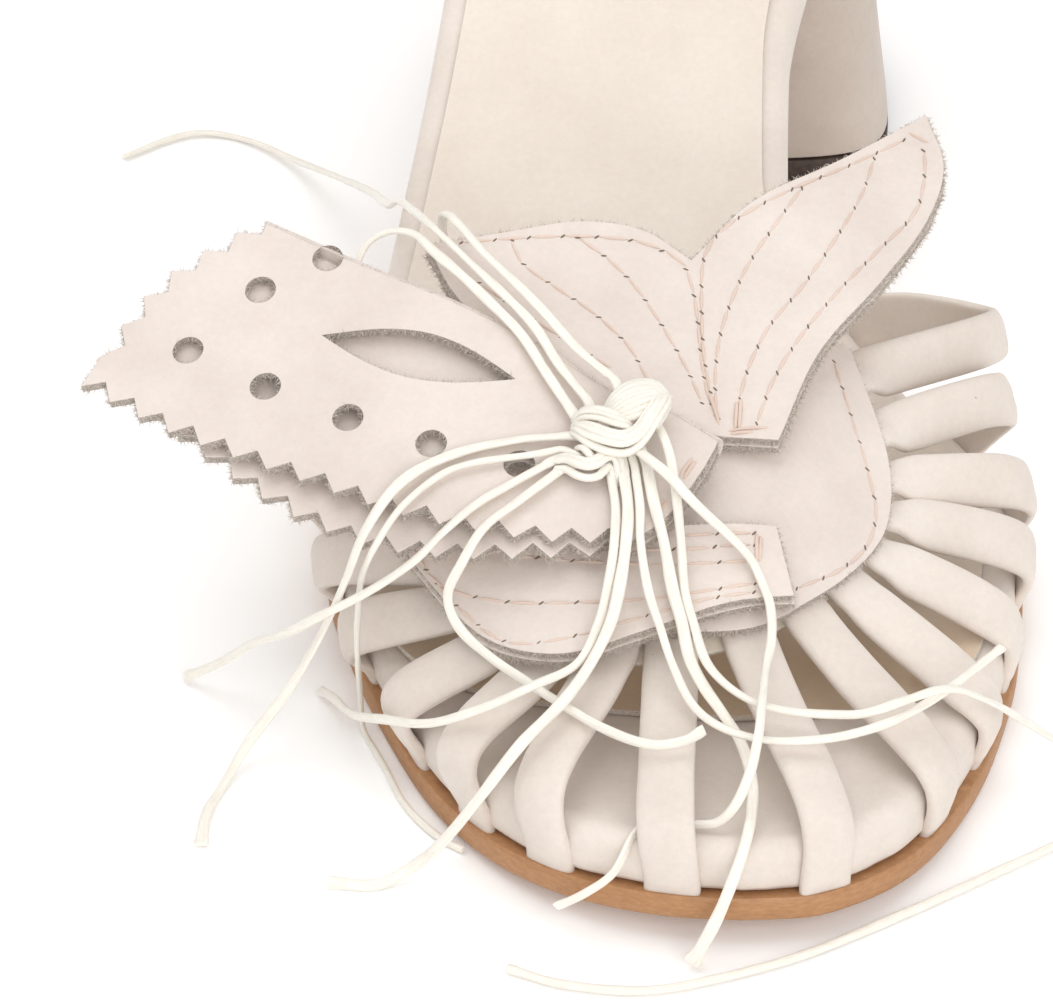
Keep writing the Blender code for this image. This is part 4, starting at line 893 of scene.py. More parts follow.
# %% Strap tables
STRAP_WIDTH, STRAP_THICK, STRAP_CROWN = 7.0 * MM, 1.8 * MM, 0.45 * MM
FOOT_CLEARANCE, FOOT_LIFT, RIM_GAP = -0.5 * MM, 0.7 * MM, 0.5 * MM
SLOPE_STEP, DOME_HOLD, TURN_SHARE, ARRIVE_SHARE, OUT_SHARE = 0.1, 0.6, 0.55, 0.9, 0.55
CREST_COLUMNS = ("y", "z")
CREST = ((-60, 13), (-42, 22.5), (-30, 28), (-15, 33.6), (0, 38.2), (20, 43.2))
CREST_RADIUS, DOME_RISE = 48 * MM, 0.3
HUB_CENTRE = Vector((0.0, -16.0 * MM, 0.0))
STRAP_COLUMNS = ("hub_x", "hub_y", "out_x", "out_y", "out_z", "lean", "foot_run")
STRAPS = (
    (22, 2.2, 42.4, 26, 24, 1.10, 139.5), (24.8, -5.2, 42.4, 12, 22.8, 0.90, 114),
    (26.2, -11.4, 44, -1.5, 18.6, 0.55, 97.5), (26.4, -17, 43.6, -9.8, 14.4, 0.40, 83),
    (25, -23.2, 40.7, -23.2, 12.5, 0.40, 67), (21.2, -29.4, 37, -38.8, 11.6, 0.45, 50),
    (15.8, -35, 30.2, -53.6, 13.2, 0.30, 33), (8.6, -40, 16.4, -66.2, 16, 0, 11),
    (-1.2, -41.3, -2.2, -67, 16.4, 0, -8.8), (-8.4, -40.8, -16.8, -61, 16.2, 0, -25.8),
    (-15.4, -39.2, -26.6, -52.6, 14.8, 0.10, -39.8), (-21.4, -36, -34.2, -39.6, 12.2, 0.20, -56.5),
    (-26, -29.8, -40.4, -23.6, 11.6, 0.30, -76), (-28.4, -22.4, -44.2, -10, 12.8, 0.40, -90.5),
    (-29, -15, -45, 0.5, 16.6, 0.55, -105.5), (-28.4, -7.8, -44.8, 13, 20.5, 0.90, -121),
    (-25.8, 0, -43.8, 26, 23.6, 1.10, -137),
)
LEAN_END, ROW_STEP = 0.65, 1 / 11
CREST_FROM, CREST_TO, CREST_POINTS = -75 * MM, 30 * MM, 400
crest_ys = np.linspace(CREST_FROM, CREST_TO, CREST_POINTS)
crest_zs = monotone(column(CREST, CREST_COLUMNS, "y"), column(CREST, CREST_COLUMNS, "z"), crest_ys)


def dome_z(x, y):
    return float(np.interp(y, crest_ys, crest_zs)) - x * x / (2 * CREST_RADIUS)


def outline_at(run, inset):
    side = "medial" if run > 0 else "lateral"
    curve = side_curve(side)
    length = plan_lengths(curve)
    curve = inset_side(curve, side, inset)
    x, y = (np.interp(abs(run), length, curve[:, i]) for i in (0, 1))
    step = 2 * MM
    dx, dy = (np.interp(abs(run) + step, length, curve[:, i]) - np.interp(abs(run) - step, length, curve[:, i])
              for i in (0, 1))
    return float(x), float(y), Vector((float(dx), float(dy), 0)).normalized()


def strap_foot(values):
    run = values["foot_run"] * MM
    x, y, away = outline_at(run, FOOTBED_INSET - FOOT_CLEARANCE)
    along = -away if run > 0 else away
    ahead, behind = (sole_z(y + along.y * step) for step in (MM, -MM))
    along.z = (ahead - behind) / (2 * MM)
    spot = Vector((x, y, sole_z(y) + OUTSOLE_THICK + FOOT_LIFT))
    return spot, along.normalized(), Vector((-along.y, along.x, 0)).normalized()


def hub_points():
    middles = [Vector((row[0], row[1], 0)) * MM for row in STRAPS]
    made = []
    for k, middle in enumerate(middles):
        before, after = middles[max(k - 1, 0)], middles[min(k + 1, len(middles) - 1)]
        room = min((middle - other).length for other in (before, after) if other is not middle)
        made.append((middle, (after - before).normalized() * min(STRAP_WIDTH, room - RIM_GAP) / 2))
    return made


# %% One strap
STRAP_STEPS, HUB_STEPS, SECTION = 60, 10, 20
HUB_REACH, WIDENING, WIDTH_WANDER, TURN_AFTER = 0.55, 0.14, 0.025, 0.8
FOOT_SINK, FOOT_ROWS, CROWN_ROWS = 0.6 * MM, 5, 6
SIDE_POWER, FACE_POWER = 0.55, 0.6
SOFTNESS = ((0.14 * MM, 6.5), (0.05 * MM, 2.2))


def strap_path(values, middle, half_rim, key):
    """Middle of the inner face, half width, across and outward directions, from under the patch to the foot."""
    def on_dome(point):
        return Vector((point.x, point.y, dome_z(point.x, point.y) - STRAP_THICK))

    hub = on_dome(middle)
    out = Vector((values["out_x"], values["out_y"], values["out_z"])) * MM
    foot, along, out_of_sole = strap_foot(values)
    leave = out - hub
    ahead = hub + leave * SLOPE_STEP
    slope = (dome_z(ahead.x, ahead.y) - dome_z(hub.x, hub.y)) / SLOPE_STEP
    leave.z = slope * DOME_HOLD + leave.z * (1 - DOME_HOLD)
    turn = (foot - hub) * TURN_SHARE
    arrive = Vector((0, 0, -1)) * (out - foot).length * ARRIVE_SHARE
    up = Vector((hub.x / CREST_RADIUS, -DOME_RISE, 1)).normalized()

    def centre_at(share):
        share = min(max(share, 0.0), 1.0)
        if share <= OUT_SHARE:
            return hermite(hub, out, leave, turn, share / OUT_SHARE)
        return hermite(out, foot, turn * TURN_AFTER, arrive, (share - OUT_SHARE) / (1 - OUT_SHARE))

    def across_at(share):
        """The strap's face turns from the dome's to the sole's side, leaning forward on the way."""
        tangent = (centre_at(share + ROW_STEP) - centre_at(share - ROW_STEP)).normalized()
        face = up.lerp(out_of_sole, smooth_step(share))
        face.y -= values["lean"] * math.sin(math.pi * min(share / LEAN_END, 1.0))
        across = tangent.cross(face).normalized()
        if across.dot(half_rim) < 0:
            across = -across
        across = half_rim.normalized().lerp(across, smooth_step(share / ROW_STEP))
        return across.lerp(along, smooth_step((share - 1 + ROW_STEP) / ROW_STEP))

    frames = []
    for k in range(HUB_STEPS, 0, -1):
        share = k / HUB_STEPS * HUB_REACH
        spot = on_dome(middle.lerp(HUB_CENTRE, share))
        frames.append((spot, half_rim.length * (1 - share), half_rim.normalized()))
    for k in range(STRAP_STEPS + 1):
        share = k / STRAP_STEPS
        width = half_rim.length + (STRAP_WIDTH / 2 - half_rim.length) * smooth_step(share / WIDENING)
        width *= 1 + WIDTH_WANDER * wander(key, share * 5)
        frames.append((centre_at(share), width, across_at(share)))
    frames.append((foot - Vector((0, 0, FOOT_LIFT + FOOT_SINK)), width, along))
    made = []
    for k, (centre, width, across) in enumerate(frames):
        after, before = frames[min(k + 1, len(frames) - 1)][0], frames[max(k - 1, 0)][0]
        tangent = (after - before).normalized()
        keep = smooth_step((k - (len(frames) - 1 - FOOT_ROWS)) / FOOT_ROWS)
        across = (across - tangent * across.dot(tangent) * (1 - keep)).normalized()
        made.append((centre, width, across, across.cross(tangent).normalized()))
    return made


def strap_mesh(values, rim, key):
    """A lofted strap: a rounded section with folded edges, pillowed a little and never quite even."""
    path = strap_path(values, *rim, key)
    verts = []
    count = len(path)
    for k, (centre, half, across, outward) in enumerate(path):
        crown = STRAP_CROWN * smooth_step((count - 1 - k) / CROWN_ROWS)
        for j in range(SECTION):
            angle = 2 * math.pi * (j + 0.5) / SECTION
            c, s = math.cos(angle), math.sin(angle)
            a = half * math.copysign(abs(c) ** SIDE_POWER, c)
            b = STRAP_THICK / 2 * math.copysign(abs(s) ** FACE_POWER, s)
            pillow = crown * (1 - (a / half) ** 2)
            spot = centre + outward * (STRAP_THICK / 2 + b + pillow) + across * a
            verts.append(spot + outward * sum(deep * noise.noise(spot * per(size)) for deep, size in SOFTNESS))
    last = (count - 1) * SECTION
    ends = [tuple(range(SECTION - 1, -1, -1)), tuple(last + j for j in range(SECTION))]
    return verts, tube_faces(count, SECTION) + ends, [0] * last + [1, 1]


# %% The cage and its lining
LINING_OUT, LINING_IN, LINING_OUT_AT = 0.9 * MM, -0.8 * MM, (8, 9)
LINING_BACK = ((-20, 4.5), (-8, 7.5), (6, 7), (16, 4.5))
LINING_THICK, LINING_GAP = 0.7 * MM, 0.02 * MM
cage_parts = [strap_mesh(dict(zip(STRAP_COLUMNS, row)), rim, key + 30)
              for key, (row, rim) in enumerate(zip(STRAPS, hub_points()))]
verts, faces, finish_of = joined(cage_parts)
cage = facing_out(mesh_piece("folded_strap_cage", verts, faces, [bone_calf, raw_edge], finish_of, sharp=60))
own(cage, "pale_leather", "upper")
tell("strap cage", cage)


def hub_rim(middle, reach):
    """Plan row of a hub point pushed away from the hub's centre, in millimetres."""
    edge = middle + (middle - HUB_CENTRE).normalized() * reach
    return edge.x / MM, edge.y / MM


lining_rows = [hub_rim(middle, LINING_OUT if k in LINING_OUT_AT else LINING_IN)
               for k, (middle, half_rim) in enumerate(hub_points())]
lining_outline = even_points(smooth_line(lining_rows + list(LINING_BACK), 10, closed=True), 0.8 * MM)


def lining_top(x, y):
    return dome_z(x, y) - STRAP_THICK - LINING_GAP


lining = own(leather_sheet("vamp_lining", lining_outline, [], lining_top, LINING_THICK, [lining_calf, pale_edge],
                           1.6 * MM), "pale_leather")
tell("lining", lining)

# %% [markdown]
# ## The ornament's sheets
#
# The patch covers the hub.  Over it lie a lower fin and a two-lobed tail, each two sheets sewn together with the
# raw edges left open, and a wing: one sheet folded double, pinked with a zigzag wheel along its open edges and
# punched with round holes and one pointed oval.  Their surfaces are simple rules: the patch follows the dome, the
# tail and the wing are a slope that climbs towards the heel.

# %% Surfaces
PATCH_THICK, FIN_THICK, WING_THICK = 1.4 * MM, 2.4 * MM, 1.3 * MM
PATCH_LIFT, FIN_LIFT, TAIL_DROP, UNDER_SAG = 0.9 * MM, 0.5 * MM, 3.3 * MM, 1.6 * MM
FIN_RADIUS, FIN_SLOPE, FIN_HINGE_Y, FIN_RISE, WING_DROOP = 60 * MM, 0.42, -34.0 * MM, 0.353, 1.2
SAG_START_X, SAG_LENGTH, SAG_DEPTH, PATCH_MARGIN = -18.0 * MM, 44.0 * MM, 16.0 * MM, 0.7 * MM
NECK = Vector((-8.0 * MM, -18.0 * MM, 41.0 * MM))
LAYER_GAP = 0.1 * MM
LAYER = (FIN_THICK - LAYER_GAP) / 2


def patch_top(x, y):
    return dome_z(x, y) + PATCH_LIFT + PATCH_THICK


def lower_fin_top(x, y):
    over_patch = patch_top(0.0, max(y, FIN_HINGE_Y)) + FIN_SLOPE * min(y - FIN_HINGE_Y, 0.0)
    return over_patch + FIN_LIFT + FIN_THICK - x * x / (2 * FIN_RADIUS)


def wing_z(x, y):
    away = min(x - NECK.x, 0.0)
    return NECK.z + FIN_RISE * (y - NECK.y) - WING_DROOP * away * away


def tail_top(x, y):
    return wing_z(x, y) - TAIL_DROP


# %% Outlines
PATCH_BACK = ((-24, 4.5), (-12, 8), (4, 7.5), (14, 5), (22.5, 4, 1))
LOWER_FIN = ((12, -29.5, 1), (14, -38.5, 1), (6, -40.5), (-5, -44.5), (-15, -46),
             (-24, -41.5), (-31, -31.5), (-37, -20, 1), (-24, -22), (-6, -30))
TAIL_FIN = ((12.5, -18.5, 1), (18, -5.5), (26.5, 5.5), (32.5, 14.5), (35, 23), (33, 31, 1),
            (22.5, 24.5), (10, 17.5), (2, 8.5, 1), (-4, 13), (-12, 14.5), (-22, 13),
            (-32, 11.5, 1), (-27, 2), (-14, -8), (-4, -14), (5, -18, 1))
WING_TIP_EDGE = ((-52, 14.5, 1), (-66.5, 5.5), (-75.5, -8.5, 1))
WING_FRONT_EDGE = ((-75.5, -8.5, 1), (-64, -17), (-48, -25.5), (-34, -32), (-18, -36),
                   (-6.5, -36.5, 1))
WING_END_EDGE = ((-6.5, -36.5, 1), (-2, -33), (2.5, -26.5), (5.5, -20.5, 1))
WING_FOLD_EDGE = ((5.5, -20.5, 1), (-1, -16), (-8, -13), (-16, -7), (-26, -0.5),
                  (-38, 6), (-52, 14.5, 1))
UNDER_TIP_EDGE = ((-52, 14.5, 1), (-64, 3.5), (-68.5, -8), (-63, -16, 1))
UNDER_FRONT_EDGE = ((-63, -16, 1), (-54, -24), (-45, -30), (-34, -34.5), (-18, -37),
                    (-6.5, -36.5, 1))
TOOTH_PITCH, TOOTH_DEPTH, HOLE_DIAMETER, LENS_BULGE = 4.7 * MM, 2.1 * MM, 3.9 * MM, 3.4 * MM
WING_HOLES = ((-44.5, 7), (-53, 3), (-62, -5), (-52, -11.5), (-41.5, -17),
              (-31, -21.5), (-20, -25))
HOLES_THROUGH = WING_HOLES[-1:]
LENS_ENDS = ((-45, -4.5), (-20.5, -12.5))
SHARP_TURN, TOOTH_UNEVEN, EDGE_STEP = 0.5, 0.10, 0.6 * MM


def closed_even(points, step):
    """A closed run resampled evenly, keeping its corners where the run turns sharply."""
    corners = []
    for k, point in enumerate(points):
        come, go = point - points[k - 1], points[(k + 1) % len(points)] - point
        if come.length and go.length and come.angle(go, 0) > SHARP_TURN:
            corners.append(k)
    if len(corners) < 2:
        return even_points(points + [points[0]], step)[:-1]
    made = []
    for a, b in zip(corners, corners[1:] + [corners[0] + len(points)]):
        run = [points[k % len(points)] for k in range(a, b + 1)]
        made += even_points(run, step)[:-1]
    return made


def pinked(rows, pitch, depth, step, blunt=False):
    """A zigzag edge with straight teeth, points every step: the tips lie on the curve, the notches inside.

    A blunt edge leaves out the last notch, so it ends in a square tooth."""
    dense = smooth_line(rows, 24)
    length = run_lengths(dense)
    halves = 2 * max(1, round(length[-1] / pitch))
    made = []
    for k in range(halves + 1):
        at = length[-1] * k / halves
        x, y = (float(np.interp(at, length, [p[i] for p in dense])) for i in (0, 1))
        ahead, behind = (min(max(at + d, 0), length[-1]) for d in (MM, -MM))
        run = Vector([float(np.interp(ahead, length, [p[i] for p in dense])
                            - np.interp(behind, length, [p[i] for p in dense])) for i in (0, 1)] + [0.0])
        run.normalize()
        uneven = 1 + TOOTH_UNEVEN * wander(k, at / MM)
        made.append(Vector((x, y, 0)) + Vector((-run.y, run.x, 0)) * (depth * uneven if k % 2 else 0.0))
    if blunt:
        del made[-2]
    zigzag = []
    for a, b in zip(made, made[1:]):
        pieces = max(1, round((b - a).length / step))
        zigzag += [a.lerp(b, k / pieces) for k in range(pieces)]
    return zigzag + [made[-1]]


def round_hole(x, y, radius, count=28):
    turns = [2 * math.pi * k / count for k in range(count)]
    return [Vector((x + radius * math.cos(turn), y + radius * math.sin(turn), 0)) for turn in turns]


def lens(ends, bulge, count=26):
    a, b = (Vector((x, y, 0)) * MM for x, y in ends)
    side = (b - a).normalized().cross(Vector((0, 0, 1)))
    upper = [a.lerp(b, k / count) + side * bulge * math.sin(math.pi * k / count) for k in range(count)]
    lower = [b.lerp(a, k / count) - side * bulge * math.sin(math.pi * k / count) for k in range(count)]
    return upper + lower


# %% [markdown]
# ## Seams
#
# Each seam is a line of thread laid on the sheet.  The tables give a few points in plan; the sheets read them to
# sink a shallow trough under each seam, and the stitches are set along them afterwards.

# %% Seam tables
PATCH_SEAM = ((20.3, 1), (21.2, -2.5), (22.6, -8), (24.1, -14), (25, -20), (23.6, -25.5), (19.8, -30.5),
              (14.5, -34.5))
TAIL_SEAMS = (
    ((-27.5, 11.6), (-21, 12), (-12.5, 12.2), (-5, 11.4), (-1.5, 9.8), (0.8, 8), (2, 4.5), (2.6, 0),
     (3, -6), (3.6, -11), (4.8, -15.2)),
    ((-21, 11.8), (-19.6, 8.2), (-15.6, 4.6), (-10.6, 0.5), (-6.2, -4.5), (-4.2, -8.6)),
    ((-12.5, 12), (-9, 9), (-5.6, 5), (-2, -1.2), (1.2, -8), (3, -13)),
    ((-25.2, 5.4), (-19.5, 0.6), (-14.5, -3.2), (-9.2, -7.2)),
    ((5, -15.2), (4, -11), (3.3, -5), (3.2, 1), (3.3, 6), (3.8, 9.3), (5.5, 12.4), (9.3, 15.8),
     (15.9, 19.8), (22.5, 23), (28.8, 26.4), (31.6, 27.6), (32.4, 25.5), (32.4, 21.5), (31, 16), (26.2, 10.2),
     (21.2, 4.4), (16.1, -2.4), (12.1, -9.5), (9.8, -16)),
    ((16.5, 19.6), (13.3, 14.6), (9, 7.2), (5.8, -1.6), (4.8, -8), (4.7, -15)),
    ((26, 24.2), (24.2, 18.6), (20.5, 11.6), (16.2, 4.6), (11.6, -1.8), (8.5, -9.2), (7.2, -16.4)),
)
FIN_SEAMS = (
    ((0, -31.9), (5, -31.4), (9.2, -30.9)),
    ((-6, -33.6), (1.2, -33.6), (5.4, -33), (9.3, -32.4)),
    ((-26, -28.6), (-19, -32), (-12.5, -34.1), (-2.5, -35.7), (5, -35.2), (9.3, -34.5)),
    ((-33.6, -25), (-30.3, -31.4), (-25, -35.6), (-17.6, -38.6), (-5.6, -40.2), (2.7, -39.2), (9.2, -37.6)),
    ((-30.3, -31.6), (-27, -36.8), (-21.6, -42.6), (-15, -44), (-5.2, -42.6), (2.6, -40.4), (9, -38.8)),
)
HAND_STITCHES = (((1.6, -24.2), (-0.2, -27.2)), ((2, -24.6), (0.3, -27.5)), ((-2, -30), (-3.3, -32.2)),
                 ((-1.6, -30.3), (-2.9, -32.6)))
BAR_STITCHES = (((6.2, -17.1), (11.4, -16.6)), ((6.4, -17.6), (9.4, -17.3)), ((7.4, -12.8), (7.1, -16.6)),
                ((7.9, -12.4), (7.6, -16.4)), ((3.9, -11.6), (5, -15.6)), ((9.5, -31), (9.4, -34.6)),
                ((10, -31.2), (9.8, -34.4)), ((9.3, -35.2), (9.3, -37.4)))
TROUGH_DEPTH, TROUGH_WIDTH, PUFF, PUFF_SIZE = 0.22 * MM, 0.75 * MM, 0.10 * MM, 7.0


def seam_curve(points, step):
    return even_points(smooth_line(points, 12), step)


def trough(seams):
    """A relief that sinks along the seams."""
    spots = np.array([(p.x, p.y) for seam in seams for p in seam_curve(seam, 0.4 * MM)])

    def relief(x, y):
        nearest = float(np.hypot(spots[:, 0] - x, spots[:, 1] - y).min())
        puff = PUFF * noise.noise(Vector((x, y, 0.3)) * per(PUFF_SIZE))
        return puff - TROUGH_DEPTH * math.exp(-(nearest / TROUGH_WIDTH) ** 2)
    return relief


# %% Vamp patch
patch_rows = [hub_rim(middle, PATCH_MARGIN) for middle, half_rim in hub_points()[1:]]
patch_outline = closed_even(smooth_line(patch_rows + list(PATCH_BACK), 8, closed=True), EDGE_STEP)
patch = own(leather_sheet("vamp_patch_leather", patch_outline, [], patch_top, PATCH_THICK, [pink_calf, raw_edge],
                          0.9 * MM, trough((PATCH_SEAM,))), "pale_leather", "vamp_patch")
tell("patch", patch)

# %% Fins, each two layers
LOOSE, LOOSE_EVERY = 0.28 * MM, 6 * MM


def fin_pair(name, rows, seams, top, node):
    outline = closed_even(smooth_line(rows, 12, closed=True), 0.55 * MM)
    upper_layer = leather_sheet(name + "_upper", outline, [], top, LAYER, [pink_calf, raw_edge], 0.8 * MM,
                                trough(seams))
    middle = sum(outline, Vector()) / len(outline)
    loose = [p + (p - middle).normalized() * LOOSE * wander(3, (p.x + 2 * p.y) / LOOSE_EVERY) for p in outline]
    lower_layer = leather_sheet(name + "_lower", loose, [], lambda x, y: top(x, y) - LAYER - LAYER_GAP, LAYER,
                                [bone_calf, raw_edge], 2.2 * MM)
    for layer in (upper_layer, lower_layer):
        own(layer, "pale_leather", node)
    tell(name, upper_layer, lower_layer)


fin_pair("lower_fin_leather", LOWER_FIN, FIN_SEAMS, lower_fin_top, "lower_fin")
fin_pair("tail_fin_leather", TAIL_FIN, TAIL_SEAMS, tail_top, "tail_fin")

# %% Folded wing
FOLD_RADIUS = WING_THICK + GAP / 2
BELLY, BELLY_X, BELLY_Y, BELLY_WIDE, BELLY_DEEP = 1.6 * MM, -36 * MM, -9 * MM, 22 * MM, 7 * MM
WING_WAVES = ((0.22 * MM, 13, 0.7), (0.05 * MM, 4, 0))


def wing_front_y(x):
    rows = sorted(WING_FRONT_EDGE)
    return float(np.interp(x / MM, [row[0] for row in rows], [row[1] for row in rows])) * MM


def under_z(x, y):
    along = min(max((SAG_START_X - x) / SAG_LENGTH, 0.0), 1.0)
    forward = min(max((wing_front_y(x) + SAG_DEPTH - y) / SAG_DEPTH, 0.0), 1.0)
    belly = math.exp(-((x - BELLY_X) / BELLY_WIDE) ** 2 - ((y - BELLY_Y) / BELLY_DEEP) ** 2)
    sag = UNDER_SAG * math.sin(math.pi * along) * forward
    return wing_z(x, y) - WING_THICK - GAP - sag - BELLY * belly


def wing_wave(x, y):
    return sum(deep * noise.noise(Vector((x, y, level)) * per(size)) for deep, size, level in WING_WAVES)


fold_line = even_points(smooth_line(WING_FOLD_EDGE, 16), 0.8 * MM)
fold_inner = []
for k, point in enumerate(fold_line):
    run = (fold_line[min(k + 1, len(fold_line) - 1)] - fold_line[max(k - 1, 0)]).normalized()
    fold_inner.append(point + Vector((-run.y, run.x, 0)) * FOLD_RADIUS)
end_edge = even_points(smooth_line(WING_END_EDGE, 12), 0.8 * MM)
end_edge = [p for p in end_edge if (p - end_edge[-1]).length > FOLD_RADIUS]


def punched(rows):
    return [round_hole(x * MM, y * MM, HOLE_DIAMETER / 2) for x, y in rows]


def wing_sheet(node, tip_rows, front_rows, openings, height, spacing, relief=None, blunt=False):
    """One layer of the wing, pinked at the tip and along the front."""
    tip = [p for p in pinked(tip_rows, TOOTH_PITCH, TOOTH_DEPTH, EDGE_STEP, blunt)[:-1]
           if (p - fold_line[-1]).length > FOLD_RADIUS]
    front = pinked(front_rows, TOOTH_PITCH, TOOTH_DEPTH, EDGE_STEP)[:-1]
    return own(leather_sheet("pinked_" + node, front + end_edge + fold_inner + tip, openings, height, WING_THICK,
                             [pink_calf, raw_edge], spacing, relief), "pale_leather", node)


openings = punched(WING_HOLES) + [lens(LENS_ENDS, LENS_BULGE)]
wing_top = wing_sheet("wing_top", WING_TIP_EDGE, WING_FRONT_EDGE, openings, wing_z, 1.1 * MM, wing_wave, blunt=True)
wing_under = wing_sheet("wing_under", UNDER_TIP_EDGE, UNDER_FRONT_EDGE, punched(HOLES_THROUGH), under_z, 1.2 * MM)

ARC = 12
FOLD_RING = 2 * (ARC + 1)
turns = [math.pi / 2 - math.pi * j / ARC for j in range(ARC + 1)]
verts = []
for inner, outer in zip(fold_inner, fold_line):
    out = (outer - inner).normalized()
    middle = Vector((inner.x, inner.y, wing_z(inner.x, inner.y) - FOLD_RADIUS))
    for radius, way in ((FOLD_RADIUS, turns), (GAP / 2, turns[::-1])):
        verts += [middle + out * radius * math.cos(turn) + Vector((0, 0, radius * math.sin(turn))) for turn in way]
faces = tube_faces(len(fold_inner), FOLD_RING)
for base in (0, (len(fold_inner) - 1) * FOLD_RING):
    faces += [(base + j, base + j + 1, base + FOLD_RING - 2 - j, base + FOLD_RING - 1 - j) for j in range(ARC)]
fold = own(facing_out(mesh_piece("wing_fold", verts, faces, [pink_calf])), "pale_leather", "wing_top", "wing_under")
tell("wing", wing_top, wing_under, fold)

# %% [markdown]
# ## Stitches
#
# Hundreds of alike stitches are a job for Geometry Nodes.  A mesh of plain edges carries the seams, with the
# surface's normal on each point.  The tree resamples each seam, sets a half-sunk spindle of thread on every
# second point and a small slanted needle hole between them, and turns both to the seam and the surface.

# %% Stitch tree
THREAD_RADIUS, HOLE_LENGTH, HOLE_FLAT, HOLE_WIDE, HOLE_SLANT = 0.23 * MM, 0.85 * MM, 0.55, 0.6, 0.7


def new_tree(name, inputs):
    """A tree with a geometry input, these inputs and a geometry output; a value of None asks for a material."""
    group = bpy.data.node_groups.new(name, "GeometryNodeTree")
    group.interface.new_socket("Geometry", in_out="INPUT", socket_type="NodeSocketGeometry")
    for label, value in inputs.items():
        kind = "NodeSocketMaterial" if value is None else "NodeSocketFloat"
        socket = group.interface.new_socket(label, in_out="INPUT", socket_type=kind)
        if value is not None:
            socket.default_value = value
    group.interface.new_socket("Geometry", in_out="OUTPUT", socket_type="NodeSocketGeometry")
    return group, add(group, "NodeGroupInput").outputs


def set_out(group, points, shape, rotation, size, finish, chosen=True):
    """Instances of a shape on the chosen points, made real and given a finish."""
    placed = add(group, "GeometryNodeInstanceOnPoints", Points=points, Selection=chosen, Instance=shape,
                 Rotation=rotation, Scale=size)
    real = add(group, "GeometryNodeRealizeInstances", Geometry=placed.outputs["Instances"])
    return add(group, "GeometryNodeSetMaterial", Geometry=real.outputs[0], Material=finish).outputs[0]


def turned_by(group, rotation, turn):
    """A rotation turned about its own axes."""
    turn = add(group, "FunctionNodeEulerToRotation", Euler=turn).outputs[0]
    return add(group, "FunctionNodeRotateRotation", {"rotation_space": "LOCAL"}, Rotation=rotation,
               Rotate_By=turn).outputs[0]


def stitch_tree():
    group, enter = new_tree("running_stitch", {
        "Half Pitch": 2.2 * MM, "Thread Radius": THREAD_RADIUS, "Thread Length": 3.6 * MM, "Hole Length": HOLE_LENGTH,
        "Thread Finish": None, "Hole Finish": None})
    curve = add(group, "GeometryNodeMeshToCurve", Mesh=enter["Geometry"]).outputs["Curve"]
    line = add(group, "GeometryNodeResampleCurve", {"mode": "LENGTH"}, Curve=curve,
               Length=enter["Half Pitch"]).outputs["Curve"]
    along = add(group, "GeometryNodeInputTangent").outputs[0]
    up = add(group, "GeometryNodeInputNamedAttribute", {"data_type": "FLOAT_VECTOR"}, Name="up").outputs[0]
    turned = add(group, "FunctionNodeAlignRotationToVector", {"axis": "X"}, Vector=along).outputs[0]
    turned = add(group, "FunctionNodeAlignRotationToVector", {"axis": "Z", "pivot_axis": "X"}, Rotation=turned,
                 Vector=up).outputs[0]
    order = add(group, "GeometryNodeSplineParameter").outputs["Index"]
    odd = calc(group, "MODULO", order, 2.0)
    even = calc(group, "SUBTRACT", 1.0, odd)
    ball = add(group, "GeometryNodeMeshUVSphere", Segments=8, Rings=8, Radius=1.0).outputs["Mesh"]
    radius = enter["Thread Radius"]
    both = add(group, "GeometryNodeJoinGeometry")
    kinds = ((odd, "Thread", 1.0, 1.0, 0.0), (even, "Hole", HOLE_FLAT, HOLE_WIDE, HOLE_SLANT))
    for chosen, kind, flat, wide, slant in kinds:
        size = add(group, "ShaderNodeCombineXYZ", X=calc(group, "MULTIPLY", enter[kind + " Length"], 0.5),
                   Y=calc(group, "MULTIPLY", radius, wide), Z=calc(group, "MULTIPLY", radius, flat)).outputs[0]
        part = set_out(group, line, ball, turned_by(group, turned, (0, 0, slant)), size, enter[kind + " Finish"],
                       chosen)
        group.links.new(part, both.inputs[0])
    soft = add(group, "GeometryNodeSetShadeSmooth", Geometry=both.outputs[0]).outputs[0]
    add(group, "NodeGroupOutput", i0=soft)
    return group


def socket_id(group, name):
    return next(item.identifier for item in group.interface.items_tree
                if item.name == name and item.in_out == "INPUT")


def baked(source, group, name, values):
    """Runs a tree on an object and returns its result as a plain mesh object; the source is removed."""
    live = source.modifiers.new("tree", "NODES")
    live.node_group = group
    for key, value in values.items():
        live[socket_id(group, key)] = value
    source.update_tag()
    depsgraph = bpy.context.evaluated_depsgraph_get()
    mesh = bpy.data.meshes.new_from_object(source.evaluated_get(depsgraph), depsgraph=depsgraph)
    piece = in_scene(name, mesh)
    bpy.data.objects.remove(source, do_unlink=True)
    return piece


def seam_guide(name, seams, height, step, lift):
    """Edges along the seams on a surface, with the surface's normal stored as 'up'."""
    verts, edges, ups = [], [], []
    for seam in seams:
        first = len(verts)
        for p in seam_curve(seam, step):
            up = normal_at(height, p.x, p.y)
            verts.append(Vector((p.x, p.y, height(p.x, p.y))) + up * lift)
            ups += list(up)
        edges += [(k, k + 1) for k in range(first, len(verts) - 1)]
    mesh = bpy.data.meshes.new(name)
    mesh.from_pydata([tuple(v) for v in verts], edges, [])
    mesh.attributes.new("up", "FLOAT_VECTOR", "POINT").data.foreach_set("vector", ups)
    return in_scene(name, mesh)


